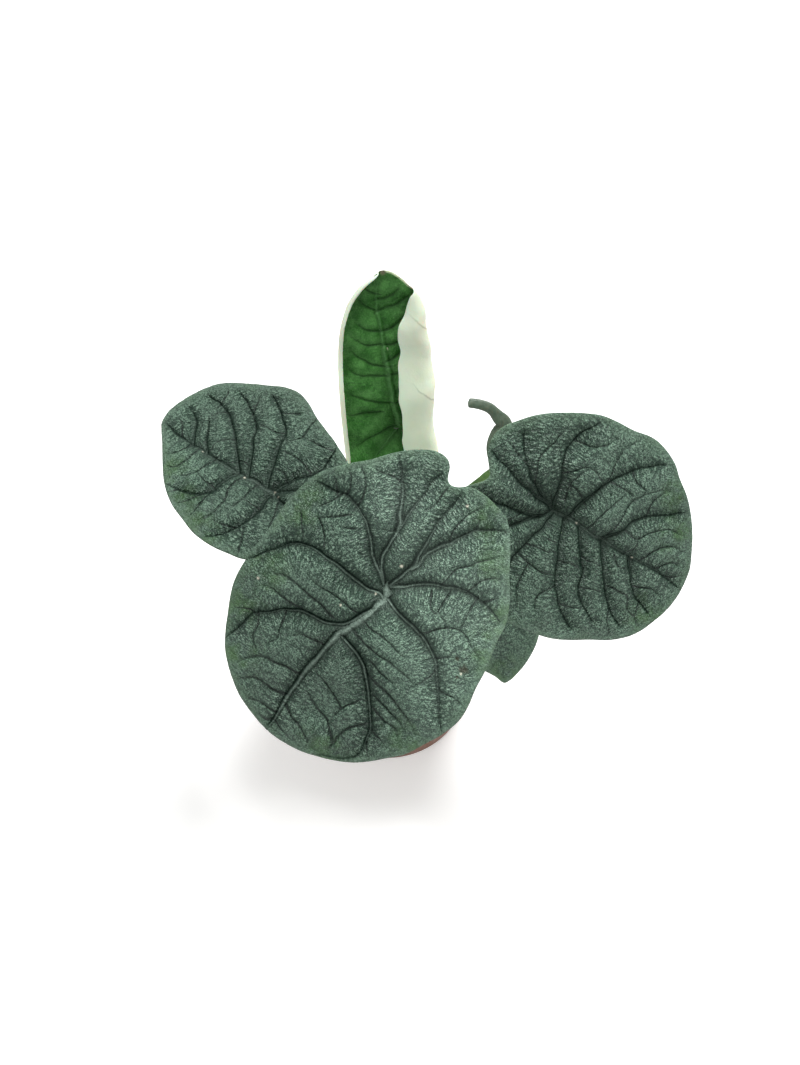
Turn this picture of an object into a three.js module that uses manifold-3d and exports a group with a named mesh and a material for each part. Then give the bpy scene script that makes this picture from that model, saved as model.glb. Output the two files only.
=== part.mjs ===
import * as THREE from "three";
import { mergeVertices } from "three/addons/utils/BufferGeometryUtils.js";
import Module from "manifold-3d";

// A potted alocasia with thick, rounded, quilted shield leaves. Millimetres, +Z up, and the origin
// is the middle of the pot's foot. The plant's front is towards -Y.

const wasm = await Module();
wasm.setup();

// ---- driving dimensions ----

// Neighbouring pieces keep this clearance.
const CLEARANCE = 0.35;

// Points nearer than this are one point.
const SAME_POINT = 1e-3;

// Nursery pot
const POT_HEIGHT = 92;
const POT_FOOT_RADIUS = 41;
const POT_NECK_RADIUS = 49.5;
const POT_RIM_RADIUS = 53;
const POT_RIM_BAND = 13;
const POT_WALL = 1.5;
const POT_FLOOR = 3;
const POT_SIDES = 36;
const FOOT_RECESS = { inner: 17, outer: 34, height: 1.5, slope: 1.5 };
const POT_EDGE = 1;
const RIM_STEP = { inset: 1.2, rise: 0.8 };
const DRAIN_HOLE = { radius: 4, ring: 25.5, count: 6, sides: 12 };

// Potting mix
const SOIL_TOP = 80.5;
const SOIL_EDGE_DROP = 2;
const SOIL_MOUND = { height: 2.5, radius: 22 };
const SOIL_LUMPS = [
  { height: 1.1, x: 0.41, y: 0, turn: 1.3 },
  { height: 0.8, x: 0, y: 0.37, turn: 1.6 },
  { height: 0.6, x: 0.83, y: -0.71, turn: 2 },
];
const SOIL_GRID = 13;

// Crown, the short stem that carries the leaves, with its main roots
const CROWN_PROFILE = [
  [0, 44],
  [5, 45.5],
  [9.5, 52],
  [11.5, 62],
  [11, 72],
  [9.2, 81],
  [7.2, 86.5],
  [4, 89.5],
  [0, 90.5],
];
const CROWN_SIDES = 14;
const ROOT_RADIUS = 2;
const ROOT_TIP_RADIUS = 0.9;
const ROOT_SIDES = 6;
const ROOT_STEPS = 4;
const ROOT_START_RING = 5;
const ROOT_KNEE = { out: 0.75, down: 0.15 };
const ROOTS = [
  { azimuth: 20, start: 56, reach: 31, drop: 40 },
  { azimuth: 95, start: 60, reach: 33, drop: 33 },
  { azimuth: 165, start: 54, reach: 30, drop: 41 },
  { azimuth: 235, start: 61, reach: 34, drop: 30 },
  { azimuth: 305, start: 57, reach: 31, drop: 42 },
];

// Leaf stalks
const STALK_BASE_RADIUS = 3.4;
const STALK_TOP_RADIUS = 2.3;
const STALK_SIDES = 8;
const STALK_STEPS = 11;
const SEAT_CUT_ABOVE = 2.5;
const STALK_FOOT_RING = 6.2;
const STALK_FOOT_HEIGHT = 81.5;
const STALK_FOOT_SWELL = { size: 0.5, reach: 0.08 };
const STALK_TAPER_END = 0.87;
const STALK_RISE_SLOPE = { out: 0.5, up: 0.87 };
const STALK_FACING = [0.3, 0.95, 0];
const YOUNG_STALK_FACING = [1, 0, 0];
const YOUNG_STALK = { foot: [0, 2, 87], rise: [1, 14, 118], approach: 16, below: 18 };

// The stalk of a leaf that was cut off. It is bent over at its blunt end, and flat and wide below
// the bend, where it was a sheath. The stops give the places that it passes through and, spread
// evenly along it, its half widths and half depths.
const OLD_STALK_STEPS = 28;
const OLD_STALK_FACING = [-0.2, -0.7, 0.68];
const OLD_STALK_STOPS = [
  { at: [2, 5.9, 81.5], wide: 3.4, deep: 3.4 },
  { at: [8, 13, 95], wide: 3.6, deep: 3 },
  { at: [28, 16, 120.5], wide: 4.6, deep: 2 },
  { at: [45.7, 17.2, 143.5], wide: 5, deep: 1.7 },
  { at: [51.0, 19.1, 148.4], wide: 4.8, deep: 1.7 },
  { at: [49.3, 25, 158], wide: 4.8, deep: 1.6 },
  { at: [51.9, 30, 166.5], wide: 4.3, deep: 1.8 },
  { at: [49.3, 31.6, 169.6], wide: 4.8, deep: 1.8 },
  { at: [45.7, 33, 173], wide: 4.6, deep: 1.8 },
  { at: [41.2, 33.5, 174.9], wide: 2.3, deep: 1.7 },
  { at: [36, 33.6, 175.8], wide: 2, deep: 1.3 },
];

// Blades
const BLADE_THICKNESS = 1;
const MAIN_VEIN = { depth: 2.8, reach: 5 };
const SIDE_VEIN = { depth: 1.2, reach: 3 };
const MARGIN_WAVE = 0.9;
const LATERAL_BEND = { lift: 0.25, reach: 0.5 };
const FOLD_SAMPLES = 80;
const ROLL_TIGHTENS = { from: 48, to: 66, by: 0.6 };
const ROLL_SMOOTHS = { from: -3, to: 1, by: 0.75 };
const OUTLINE_SAMPLES = 900;

// ---- leaves ----
// A blade lies on a plane through its attachment point, with u towards the tip, v to the left of it
// and the height along facing. Its outline and veins are (u, v) in mm. arch is the fall of the blade
// for each mm squared towards the tip, towards the back lobes and to the sides, and cup is the
// hollow over the stalk. quilting is the depth of its grooves, as a share of the full depth.

const FRONT = {
  name: "front",
  grid: 26,
  quilting: 1,
  attachment: [0.7, -75.8, 188.2],
  tipWay: [-0.617, -0.442, -0.651],
  facing: [-0.152, -0.745, 0.649],
  arch: { tip: 0.0012, back: 0.0006, side: 0.0008 },
  cup: { depth: 4, radius: 14 },
  centre: [11, 2],
  waves: { count: 5, turn: 0.6 },
  outline: [
    [72, 0], [70, 12.8], [64.2, 26.2], [55, 37], [44, 44.8], [28.3, 50], [13.3, 50.2],
    [-0.8, 46.6], [-18.3, 42], [-33.3, 30.3], [-45.8, 20.3], [-49.2, 7.8], [-47.5, 0],
    [-44.3, -4.7], [-48.8, -8.8], [-50.7, -13.8], [-46.7, -21.3], [-33.3, -32.2],
    [-20, -42.5], [-1.7, -46.3], [23.3, -45.3], [40, -41], [56.7, -31.8], [68.8, -15.5],
  ],
  mainVeins: [
    [[0, 0], [8.3, 2.7], [20, -0.1], [31.7, -2.6], [57.5, -1.8], [71.7, 0]],
    [[3.3, 5.3], [4.6, 18.7], [8.8, 30.3], [24.2, 45.3]],
    [[24.2, 0.8], [29.2, 14.5], [44.2, 28.7], [55.8, 32.4]],
    [[-4.2, 5.3], [-13.3, 14.5], [-18.3, 24.5], [-18.3, 35.3]],
    [[-3.3, 1.6], [-15, 2.8], [-42.5, 0.3]],
    [[-15, 4.1], [-25.8, 7.8], [-40, 13.7]],
    [[4.6, -1.3], [4.6, -17.2], [6.3, -31.3], [12.5, -38]],
    [[18.3, -1.3], [24.2, -9.7], [29.2, -21.3], [40.8, -30.9]],
    [[-1.7, -3.8], [-14.2, -18.8], [-17.1, -29.7], [-15.8, -36.3]],
    [[-5, -5.9], [-20, -9.3], [-44.2, -10]],
    [[-20, -9.3], [-33.3, -18.4], [-38.3, -22.2]],
  ],
  sideVeins: [
    [[19.2, 29.9], [19.6, 20.3], [20, 7.8]],
    [[30.8, 34.5], [29.2, 22], [28.3, 15.3]],
    [[38.3, 20.3], [53.3, 15.3]],
    [[53.3, 14.5], [50, 0.3]],
    [[-1.7, 22.8], [-5.8, 32.8]],
    [[13.8, -3], [13.8, -21.3]],
    [[19.2, -13], [20.4, -32.2]],
    [[46.3, -4.7], [50, -18.8], [61.7, -23.8]],
    [[55.8, -3.8], [65.8, -20.5]],
    [[32.5, -9.7], [39.2, -15.5]],
  ],
};

const LEFT = {
  name: "left",
  grid: 22,
  quilting: 1,
  attachment: [-43.4, -22, 185],
  tipWay: [-0.813, 0.579, 0.055],
  facing: [-0.06, -0.177, 0.982],
  arch: { tip: 0.0012, back: 0.0006, side: 0.001 },
  cup: { depth: 4, radius: 12 },
  centre: [14, -2],
  waves: { count: 4, turn: 1.9 },
  outline: [
    [58.2, 0], [50.7, 7.9], [39.3, 20], [27.1, 27.9], [12.1, 32.9], [0.7, 33.2],
    [-11.4, 30.6], [-22, 24], [-29, 14], [-31, 5], [-27, -1], [-31, -7], [-29, -15],
    [-19.3, -25], [-7.1, -31.2], [5, -35.9], [19.3, -42], [33.6, -38.7],
    [47.1, -32.8], [55, -23.8], [59.3, -9.3],
  ],
  mainVeins: [
    [[0, -1], [16.4, 1.4], [33.6, 1.2], [55, -0.7]],
    [[1.1, 0.7], [-1.8, 14.3], [2.1, 25.7], [6.4, 30.7]],
    [[17.1, 2.5], [20.4, 15.7], [35.7, 21.1]],
    [[0.7, -2.9], [-9.3, -13.6], [-10, -27.9]],
    [[5.7, -4.3], [11.4, -22.9], [27.1, -35]],
    [[13.6, -0.7], [25, -20.7], [39.3, -29.3]],
    [[17.9, -0.4], [35.7, -17.1], [50.7, -21.4]],
    [[33.6, 0.7], [42.1, -10.7]],
    [[40.7, 0.4], [54, -12]],
    [[0, 0], [-14, 5], [-27, 6]],
    [[-2, -2], [-14, -7], [-28, -9]],
  ],
  sideVeins: [
    [[6.8, 5.7], [7.9, 18.6]],
    [[13.6, 10], [11.1, 21.4], [13.9, 30]],
    [[28.6, 5.7], [32.9, 15]],
    [[37.1, 4.3], [44.3, 14.3]],
    [[-7.9, 29.3], [-2.1, 19.3]],
    [[4.3, -35.7], [7.1, -20.7]],
  ],
};

const RIGHT = {
  name: "right",
  grid: 24,
  quilting: 1,
  attachment: [67, -38, 184.6],
  tipWay: [0.821, -0.194, -0.538],
  facing: [0.197, -0.788, 0.584],
  arch: { tip: 0.0012, back: 0.0006, side: 0.001 },
  cup: { depth: 4, radius: 12 },
  centre: [13, -1],
  waves: { count: 5, turn: 3.1 },
  outline: [
    [64.8, -0.4], [62.3, 11.6], [54.2, 23], [42.5, 33.2], [30.6, 41], [15.4, 44.5],
    [0, 41.9], [-13.1, 37.7], [-25.4, 30], [-33.8, 21.2], [-38.1, 13.5], [-36.2, 5],
    [-31.5, -0.8], [-34.6, -6.5], [-38.5, -14], [-34, -25], [-24, -34], [-9, -41],
    [8.5, -45], [21.5, -43.1], [35.4, -38.5], [50, -30.4], [59.2, -20.4], [63.5, -8.8],
  ],
  mainVeins: [
    [[0, 0], [15.4, 1.2], [42.3, 2.1], [62, 2]],
    [[-0.8, 2.7], [-14.6, 5.8], [-27.7, 18.8]],
    [[-3, 2.3], [-19.2, 3.5], [-35.4, 6.9]],
    [[-0.8, 3.5], [-9.2, 19.6], [-6.2, 37.3]],
    [[6.9, 1.9], [9.2, 15], [26.9, 38.5]],
    [[22.3, 1.9], [30.8, 15], [45.4, 26.5]],
    [[-0.8, -0.4], [-11.5, -6.5], [-25.4, -8.5]],
    [[0.8, -5.8], [-4.6, -20.4], [-4, -36]],
    [[7.3, -3.5], [13.8, -18.8], [26.9, -31.9]],
    [[15, -2.7], [23.1, -14.2], [31, -24]],
    [[26.2, -3.5], [44.6, -20.8]],
    [[39.2, -1.9], [57.7, -13.1]],
    [[-8, -7], [-20, -20], [-26, -27]],
  ],
  sideVeins: [
    [[9.2, 18.1], [10.8, 38.1]],
    [[13.8, 23.5], [23.8, 21.9]],
    [[23.8, 11.2], [23.8, 21.2], [34.6, 31.2]],
    [[33.8, 8.8], [51.5, 19.6]],
    [[41.5, 4.2], [55.4, 15]],
    [[-9.2, 28.1], [3.8, 35.8]],
    [[34.6, -12.7], [48.5, -16.5]],
  ],
};

// The lowest leaf hangs over the rim, under the right-hand one.
const LOW = {
  name: "low",
  grid: 16,
  quilting: 0.5,
  attachment: [47, -27.1, 122],
  tipWay: [0.145, -0.618, -0.773],
  facing: [-0.049, -0.785, 0.618],
  arch: { tip: 0.002, back: 0.001, side: 0.0022 },
  cup: { depth: 2, radius: 9 },
  centre: [9, 0],
  waves: { count: 4, turn: 0.4 },
  outline: [
    [42.6, -0.5], [41.6, 2.3], [38.7, 5.7], [32.8, 11.3], [25.6, 16], [15, 19.5], [2, 21.5],
    [-9, 21], [-19, 16], [-24, 8], [-21, 0], [-24, -8], [-19, -17], [-9, -24], [4, -26.5],
    [18, -25], [26, -21.5], [30.8, -16.6], [34.8, -10.3], [39, -4.2],
  ],
  mainVeins: [
    [[0, 0], [40, 0]],
    [[0, 0], [6, 12], [14, 22]],
    [[11, 0], [20, 10], [31, 15]],
    [[0, 0], [-8, 10], [-10, 21]],
    [[0, 0], [-12, 4], [-22, 8]],
    [[0, 0], [6, -12], [14, -22]],
    [[11, 0], [20, -10], [31, -15]],
    [[0, 0], [-8, -10], [-10, -21]],
    [[0, 0], [-12, -4], [-22, -8]],
  ],
  sideVeins: [],
};

// The newest leaf still has both margins rolled forward. Its outline is the blade laid flat; then
// each side stays flat to the roll and turns round it.
const YOUNG = {
  name: "young",
  grid: 22,
  quilting: 0.5,
  attachment: [5.8, 30.1, 163.5],
  tipWay: [-0.07, 0.257, 0.964],
  facing: [0.043, -0.965, 0.26],
  arch: { tip: 0.0004, back: -0.007, side: 0 },
  cup: { depth: 2.5, radius: 10 },
  centre: [14, 0],
  waves: { count: 4, turn: 1 },
  outline: [
    [71.4, 0.2], [71.2, 3], [70.2, 6], [68.6, 9.3], [65.6, 13.1], [60.2, 17.8], [50, 22.5],
    [40, 24.8], [20, 26.8], [0, 27], [-14, 26.2], [-26, 20], [-33, 10], [-31, 0], [-33, -10],
    [-26, -23], [-14, -33.4], [-3, -34], [1, -32.5], [5, -31.6], [9, -32], [13, -33], [19, -35.2],
    [24, -35.7], [29, -34.4], [37, -32.7], [44.3, -31], [51.5, -28.2], [56, -24.9], [60.3, -19.4],
    [63, -13.2], [64.8, -9.2], [67.2, -7.1], [69.4, -4.6], [70.9, -2.1],
  ],
  mainVeins: [
    [[0, 0], [30, 1.1], [60, 3.3], [70, 0.8]],
    [[0, 0], [-10, 8], [-24, 16]],
    [[0, 0], [-10, -8], [-24, -16]],
  ],
  sideVeins: pinnateVeins({ pairs: 8, first: 4, spacing: 7.6, reach: 24, lift: 9 }),
  rolls: {
    left: {
      fold: [
        [-40, 20.6], [20, 20.5], [40, 18.9], [50, 17], [60, 13.8], [64, 11], [67, 7.9],
        [69.4, 4.4], [70.8, 2], [72, 0],
      ],
      radius: 2,
      turn: 2.4,
    },
    right: {
      fold: [
        [-40, 11.8], [-6, 11.8], [0, 11], [6, 10.6], [12, 11.2], [17.5, 11.8], [23, 12.5],
        [28, 12.1], [34, 11.5], [40, 11.6], [45, 10.6], [50, 10.1], [55, 11.2], [60, 10.8],
        [63, 9.3], [66, 7.2], [72, 4.5],
      ],
      radius: 4.1,
      turn: 3.2,
    },
  },
};

const LEAF_STALKS = [
  { leaf: FRONT, azimuth: -98, rise: 42, approach: 34 },
  { leaf: LEFT, azimuth: -160, rise: 46, approach: 34 },
  { leaf: RIGHT, azimuth: 8, rise: 50, approach: 40 },
  { leaf: LOW, azimuth: -45, rise: 22, approach: 18 },
];

// ---- colours ----

const MATERIALS = {
  pot: { color: 0x9a5a3c, roughness: 0.55, metalness: 0 },
  soil: { color: 0x3b2a1e, roughness: 0.95, metalness: 0 },
  crown: { color: 0x6b5a3a, roughness: 0.8, metalness: 0 },
  stalk: { color: 0x567a3c, roughness: 0.5, metalness: 0 },
  blade: { color: 0x33493f, roughness: 0.5, metalness: 0 },
  youngBlade: { color: 0x3d7a33, roughness: 0.45, metalness: 0 },
};

// ---- closed meshes ----

function material(name) {
  return new THREE.MeshStandardMaterial(MATERIALS[name]);
}

function geometryOf(points, triangles) {
  const geometry = new THREE.BufferGeometry();
  geometry.setAttribute("position", new THREE.Float32BufferAttribute(points.flat(), 3));
  geometry.setIndex(triangles.flat());
  return geometry;
}

function solidOf(geometry) {
  const bare = geometry.clone();
  bare.deleteAttribute("normal");
  bare.deleteAttribute("uv");
  const merged = mergeVertices(bare, SAME_POINT);
  const mesh = new wasm.Mesh({
    numProp: 3,
    vertProperties: merged.attributes.position.array,
    triVerts: new Uint32Array(merged.index.array),
  });
  return new wasm.Manifold(mesh);
}

function geometryOfSolid(solid) {
  const mesh = solid.getMesh();
  const geometry = new THREE.BufferGeometry();
  geometry.setAttribute("position", new THREE.Float32BufferAttribute(mesh.vertProperties, 3));
  geometry.setIndex([...mesh.triVerts]);
  return geometry;
}

function named(name, geometry, materialName) {
  const mesh = new THREE.Mesh(geometry, material(materialName));
  mesh.name = name;
  return mesh;
}

// Turns a lathe, which three.js makes about +Y, to stand on +Z.
function latheAboutZ(profile, sides) {
  const outline = profile.map(([radius, height]) => new THREE.Vector2(radius, height));
  return new THREE.LatheGeometry(outline, sides).rotateX(Math.PI / 2);
}

function vector(point) {
  return new THREE.Vector3(...point);
}

// A closed tube along a curve. sectionAt(s) gives its half widths [wide, deep] at s from 0 to 1;
// the wide one lies square to the curve and to facing.
function tube(curve, sectionAt, facing, sides, steps) {
  const points = [];
  const triangles = [];
  for (let i = 0; i <= steps; i += 1) {
    const middle = curve.getPointAt(i / steps);
    const across = curve.getTangentAt(i / steps).cross(facing).normalize();
    const through = curve.getTangentAt(i / steps).cross(across);
    const [wide, deep] = sectionAt(i / steps);
    for (let k = 0; k < sides; k += 1) {
      const angle = (2 * Math.PI * k) / sides;
      const point = middle.clone().addScaledVector(across, wide * Math.cos(angle));
      points.push(point.addScaledVector(through, deep * Math.sin(angle)).toArray());
    }
  }
  for (let i = 0; i < steps; i += 1) {
    for (let k = 0; k < sides; k += 1) {
      const here = i * sides + k;
      const beside = i * sides + ((k + 1) % sides);
      triangles.push([here, beside, beside + sides], [here, beside + sides, here + sides]);
    }
  }
  const last = steps * sides;
  for (let k = 1; k < sides - 1; k += 1) {
    triangles.push([0, k + 1, k], [last, last + k, last + k + 1]);
  }
  return geometryOf(points, triangles);
}

// ---- blades ----

// Lateral veins that leave the midrib in pairs and curve up to the margin.
function pinnateVeins({ pairs, first, spacing, reach, lift }) {
  const veins = [];
  for (let k = 0; k < pairs; k += 1) {
    const start = first + k * spacing;
    for (const side of [1, -1]) {
      veins.push([
        [start, 0],
        [start + lift * LATERAL_BEND.lift, side * reach * LATERAL_BEND.reach],
        [start + lift, side * reach],
      ]);
    }
  }
  return veins;
}

// The outline as a radius about the blade's centre, for any angle.
function radiusAbout(outline, [centreU, centreV]) {
  const knots = outline.map(([u, v]) => new THREE.Vector3(u - centreU, v - centreV, 0));
  const round = new THREE.CatmullRomCurve3(knots, true, "centripetal").getPoints(OUTLINE_SAMPLES);
  const polar = round.map((p) => [Math.atan2(p.y, p.x), Math.hypot(p.x, p.y)]);
  polar.sort((p, q) => p[0] - q[0]);
  const [first, last] = [polar[0], polar.at(-1)];
  const table = [[last[0] - 2 * Math.PI, last[1]], ...polar, [first[0] + 2 * Math.PI, first[1]]];
  return (angle) => {
    const after = table.findIndex((entry) => entry[0] > angle);
    const [low, high] = [table[after - 1], table[after]];
    return low[1] + ((high[1] - low[1]) * (angle - low[0])) / (high[0] - low[0]);
  };
}

// Maps the square of side 2 to the unit disc, ring by ring.
function discPoint(a, b) {
  if (a === 0 && b === 0) return [0, 0];
  const wide = Math.abs(a) > Math.abs(b);
  const radius = wide ? a : b;
  const angle = wide ? (Math.PI / 4) * (b / a) : Math.PI / 2 - (Math.PI / 4) * (a / b);
  return [radius * Math.cos(angle), radius * Math.sin(angle)];
}

function distanceToVeins(veins, u, v) {
  let nearest = Infinity;
  for (const vein of veins) {
    for (let k = 1; k < vein.length; k += 1) {
      const [[u0, v0], [u1, v1]] = [vein[k - 1], vein[k]];
      const [du, dv] = [u1 - u0, v1 - v0];
      const along = ((u - u0) * du + (v - v0) * dv) / (du * du + dv * dv);
      const s = THREE.MathUtils.clamp(along, 0, 1);
      nearest = Math.min(nearest, Math.hypot(u - u0 - s * du, v - v0 - s * dv));
    }
  }
  return nearest;
}

function groove(vein, distance) {
  return -vein.depth * Math.exp(-((distance / vein.reach) ** 2));
}

// How far the whole blade stands over its plane: its arch, its cup and the waves of its margin.
function bladeLift(leaf, u, v, fraction, angle) {
  const fall = (u > 0 ? leaf.arch.tip : leaf.arch.back) * u * u + leaf.arch.side * v * v;
  const cup = leaf.cup.depth * Math.exp(-(u * u + v * v) / leaf.cup.radius ** 2);
  const wave = MARGIN_WAVE * fraction ** 4 * Math.sin(leaf.waves.count * angle + leaf.waves.turn);
  return wave - fall - cup;
}

// How far the veins sink into the blade. They fade where it turns over into a roll.
function bladeRelief(leaf, u, v) {
  const mainGroove = groove(MAIN_VEIN, distanceToVeins(leaf.mainVeins, u, v));
  const sideGroove = groove(SIDE_VEIN, distanceToVeins(leaf.sideVeins, u, v));
  let depth = leaf.quilting;
  if (leaf.rolls) {
    const roll = v > 0 ? leaf.rolls.left : leaf.rolls.right;
    const past = Math.abs(v) - foldAt(roll, u);
    depth *= 1 - ROLL_SMOOTHS.by * THREE.MathUtils.smoothstep(past, ROLL_SMOOTHS.from, ROLL_SMOOTHS.to);
  }
  return depth * (mainGroove + sideGroove);
}

// Where a rolled side's flat part ends, at u along the blade.
function foldAt(roll, u) {
  const knots = roll.fold.map(([along, across]) => new THREE.Vector3(along, across, 0));
  const line = new THREE.CatmullRomCurve3(knots, false, "centripetal").getPoints(FOLD_SAMPLES);
  const after = line.findIndex((point) => point.x > u);
  const [low, high] = [line[after - 1], line[after]];
  return THREE.MathUtils.mapLinear(u, low.x, high.x, low.y, high.y);
}

// Turns a point of a flat side round the roll: [across, up] for the given height over the skin.
function rolled(roll, u, across, height) {
  const flat = foldAt(roll, u);
  const tight = THREE.MathUtils.smoothstep(u, ROLL_TIGHTENS.from, ROLL_TIGHTENS.to);
  const radius = roll.radius * (1 - ROLL_TIGHTENS.by * tight);
  const past = Math.max(across - flat, 0);
  const angle = Math.min(past / radius, roll.turn);
  const straight = Math.max(past - radius * roll.turn, 0);
  const outward = Math.min(across, flat) + radius * Math.sin(angle) + straight * Math.cos(angle);
  const up = radius * (1 - Math.cos(angle)) + straight * Math.sin(angle);
  return [outward - height * Math.sin(angle), up + height * Math.cos(angle)];
}

// A point of the blade in the part's frame. A roll turns the relief, and lift moves the whole skin.
function bladePoint(leaf, axes, u, v, relief, lift) {
  let [across, up] = [v, relief];
  if (leaf.rolls) {
    const roll = v > 0 ? leaf.rolls.left : leaf.rolls.right;
    [across, up] = rolled(roll, u, Math.abs(v), relief);
    across *= Math.sign(v);
  }
  const point = axes.origin.clone().addScaledVector(axes.u, u);
  return point.addScaledVector(axes.v, across).addScaledVector(axes.n, up + lift);
}

function bladeAxes(leaf) {
  const u = vector(leaf.tipWay).normalize();
  const v = vector(leaf.facing).cross(u).normalize();
  const n = u.clone().cross(v);
  return { origin: vector(leaf.attachment), u, v, n };
}

// The middle of the underside, where the stalk meets the blade.
function bladeSeat(leaf) {
  const axes = bladeAxes(leaf);
  const depth = BLADE_THICKNESS - bladeRelief(leaf, 0, 0);
  const seat = bladePoint(leaf, axes, 0, 0, -depth, bladeLift(leaf, 0, 0, 0, 0));
  return { seat, normal: axes.n };
}

// Both faces carry the same grid, above and below the blade's upper face by the given amounts, and
// a ring of faces joins them.
function bladeSlab(leaf, above, below) {
  const axes = bladeAxes(leaf);
  const radiusAt = radiusAbout(leaf.outline, leaf.centre);
  const size = leaf.grid + 1;
  const [top, bottom] = [[], []];
  for (let i = 0; i < size; i += 1) {
    for (let j = 0; j < size; j += 1) {
      const [x, y] = discPoint((2 * i) / leaf.grid - 1, (2 * j) / leaf.grid - 1);
      const angle = Math.atan2(y, x);
      const radius = radiusAt(angle);
      const u = leaf.centre[0] + x * radius;
      const v = leaf.centre[1] + y * radius;
      const relief = bladeRelief(leaf, u, v);
      const lift = bladeLift(leaf, u, v, Math.hypot(x, y), angle);
      top.push(bladePoint(leaf, axes, u, v, relief + above, lift).toArray());
      bottom.push(bladePoint(leaf, axes, u, v, relief - below, lift).toArray());
    }
  }
  return geometryOf([...top, ...bottom], sheetFaces(size));
}

function bladeGeometry(leaf) {
  return bladeSlab(leaf, 0, BLADE_THICKNESS);
}

// Triangles of two square grids of points, the first facing up, joined round their border.
function sheetFaces(size) {
  const below = size * size;
  const at = (i, j) => i * size + j;
  const triangles = [];
  for (let i = 0; i < size - 1; i += 1) {
    for (let j = 0; j < size - 1; j += 1) {
      const [p, q, r, s] = [at(i, j), at(i + 1, j), at(i + 1, j + 1), at(i, j + 1)];
      const half = (size - 1) / 2;
      const along = i < half === j < half;
      const pair = along ? [[p, q, r], [p, r, s]] : [[p, q, s], [q, r, s]];
      for (const [a, b, c] of pair) triangles.push([a, b, c], [a + below, c + below, b + below]);
    }
  }
  const border = [];
  for (let k = 0; k < size - 1; k += 1) border.push(at(k, 0));
  for (let k = 0; k < size - 1; k += 1) border.push(at(size - 1, k));
  for (let k = size - 1; k > 0; k -= 1) border.push(at(k, size - 1));
  for (let k = size - 1; k > 0; k -= 1) border.push(at(0, k));
  border.forEach((here, k) => {
    const next = border[(k + 1) % border.length];
    triangles.push([here, here + below, next + below], [here, next + below, next]);
  });
  return triangles;
}

// ---- pot, soil and crown ----

function wallRadius(height) {
  return POT_FOOT_RADIUS + ((POT_NECK_RADIUS - POT_FOOT_RADIUS) * height) / (POT_HEIGHT - POT_RIM_BAND);
}

function potGeometry() {
  const bandFoot = POT_HEIGHT - POT_RIM_BAND;
  const innerRim = POT_RIM_RADIUS - 2 * POT_WALL;
  const profile = [
    [0, 0],
    [FOOT_RECESS.inner, 0],
    [FOOT_RECESS.inner + FOOT_RECESS.slope, FOOT_RECESS.height],
    [FOOT_RECESS.outer - FOOT_RECESS.slope, FOOT_RECESS.height],
    [FOOT_RECESS.outer, 0],
    [POT_FOOT_RADIUS - POT_EDGE, 0],
    [POT_FOOT_RADIUS, POT_EDGE],
    [POT_NECK_RADIUS, bandFoot],
    [POT_RIM_RADIUS - RIM_STEP.inset, bandFoot + RIM_STEP.rise],
    [POT_RIM_RADIUS, POT_HEIGHT - POT_EDGE],
    [POT_RIM_RADIUS - POT_EDGE, POT_HEIGHT],
    [innerRim + POT_EDGE / 2, POT_HEIGHT],
    [innerRim, POT_HEIGHT - POT_EDGE],
    [POT_NECK_RADIUS - POT_WALL, bandFoot],
    [wallRadius(POT_FLOOR) - POT_WALL, POT_FLOOR],
    [0, POT_FLOOR],
  ];
  let pot = solidOf(latheAboutZ(profile, POT_SIDES));
  for (let k = 0; k < DRAIN_HOLE.count; k += 1) {
    const angle = (2 * Math.PI * k) / DRAIN_HOLE.count;
    const { radius, sides } = DRAIN_HOLE;
    const drill = new THREE.CylinderGeometry(radius, radius, 4 * POT_FLOOR, sides);
    drill.rotateX(Math.PI / 2);
    drill.translate(DRAIN_HOLE.ring * Math.cos(angle), DRAIN_HOLE.ring * Math.sin(angle), 0);
    pot = pot.subtract(solidOf(drill));
  }
  return geometryOfSolid(pot);
}

function soilHeight(x, y) {
  let height = SOIL_TOP + SOIL_MOUND.height * Math.exp(-(x * x + y * y) / SOIL_MOUND.radius ** 2);
  for (const lump of SOIL_LUMPS) height += lump.height * Math.sin(lump.x * x + lump.y * y + lump.turn);
  return height;
}

function rootCurve(root) {
  const angle = THREE.MathUtils.degToRad(root.azimuth);
  const out = new THREE.Vector3(Math.cos(angle), Math.sin(angle), 0);
  const start = out.clone().multiplyScalar(ROOT_START_RING).setZ(root.start);
  const knee = out.clone().multiplyScalar(root.reach * ROOT_KNEE.out);
  knee.setZ(root.start - root.drop * ROOT_KNEE.down);
  const tip = out.clone().multiplyScalar(root.reach).setZ(root.start - root.drop);
  return new THREE.QuadraticBezierCurve3(start, knee, tip);
}

// The crown and its roots as one solid, grown by some clearance on every side.
function crownSolid(grow) {
  const profile = CROWN_PROFILE.map(([radius, height], k) => {
    const end = k === 0 ? -1 : Number(k === CROWN_PROFILE.length - 1);
    return [radius === 0 ? 0 : radius + grow, height + grow * end];
  });
  let crown = solidOf(latheAboutZ(profile, CROWN_SIDES));
  for (const root of ROOTS) {
    const radiusAt = (s) => THREE.MathUtils.lerp(ROOT_RADIUS, ROOT_TIP_RADIUS, s) + grow;
    const sectionAt = (s) => [radiusAt(s), radiusAt(s)];
    const curve = rootCurve(root);
    if (grow > 0) {
      const past = curve.v2.clone().sub(curve.v1).normalize();
      curve.v2.addScaledVector(past, grow);
    }
    const sideways = new THREE.Vector3(0, 0, 1).cross(curve.v2);
    crown = crown.add(solidOf(tube(curve, sectionAt, sideways, ROOT_SIDES, ROOT_STEPS)));
  }
  return crown;
}

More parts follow.
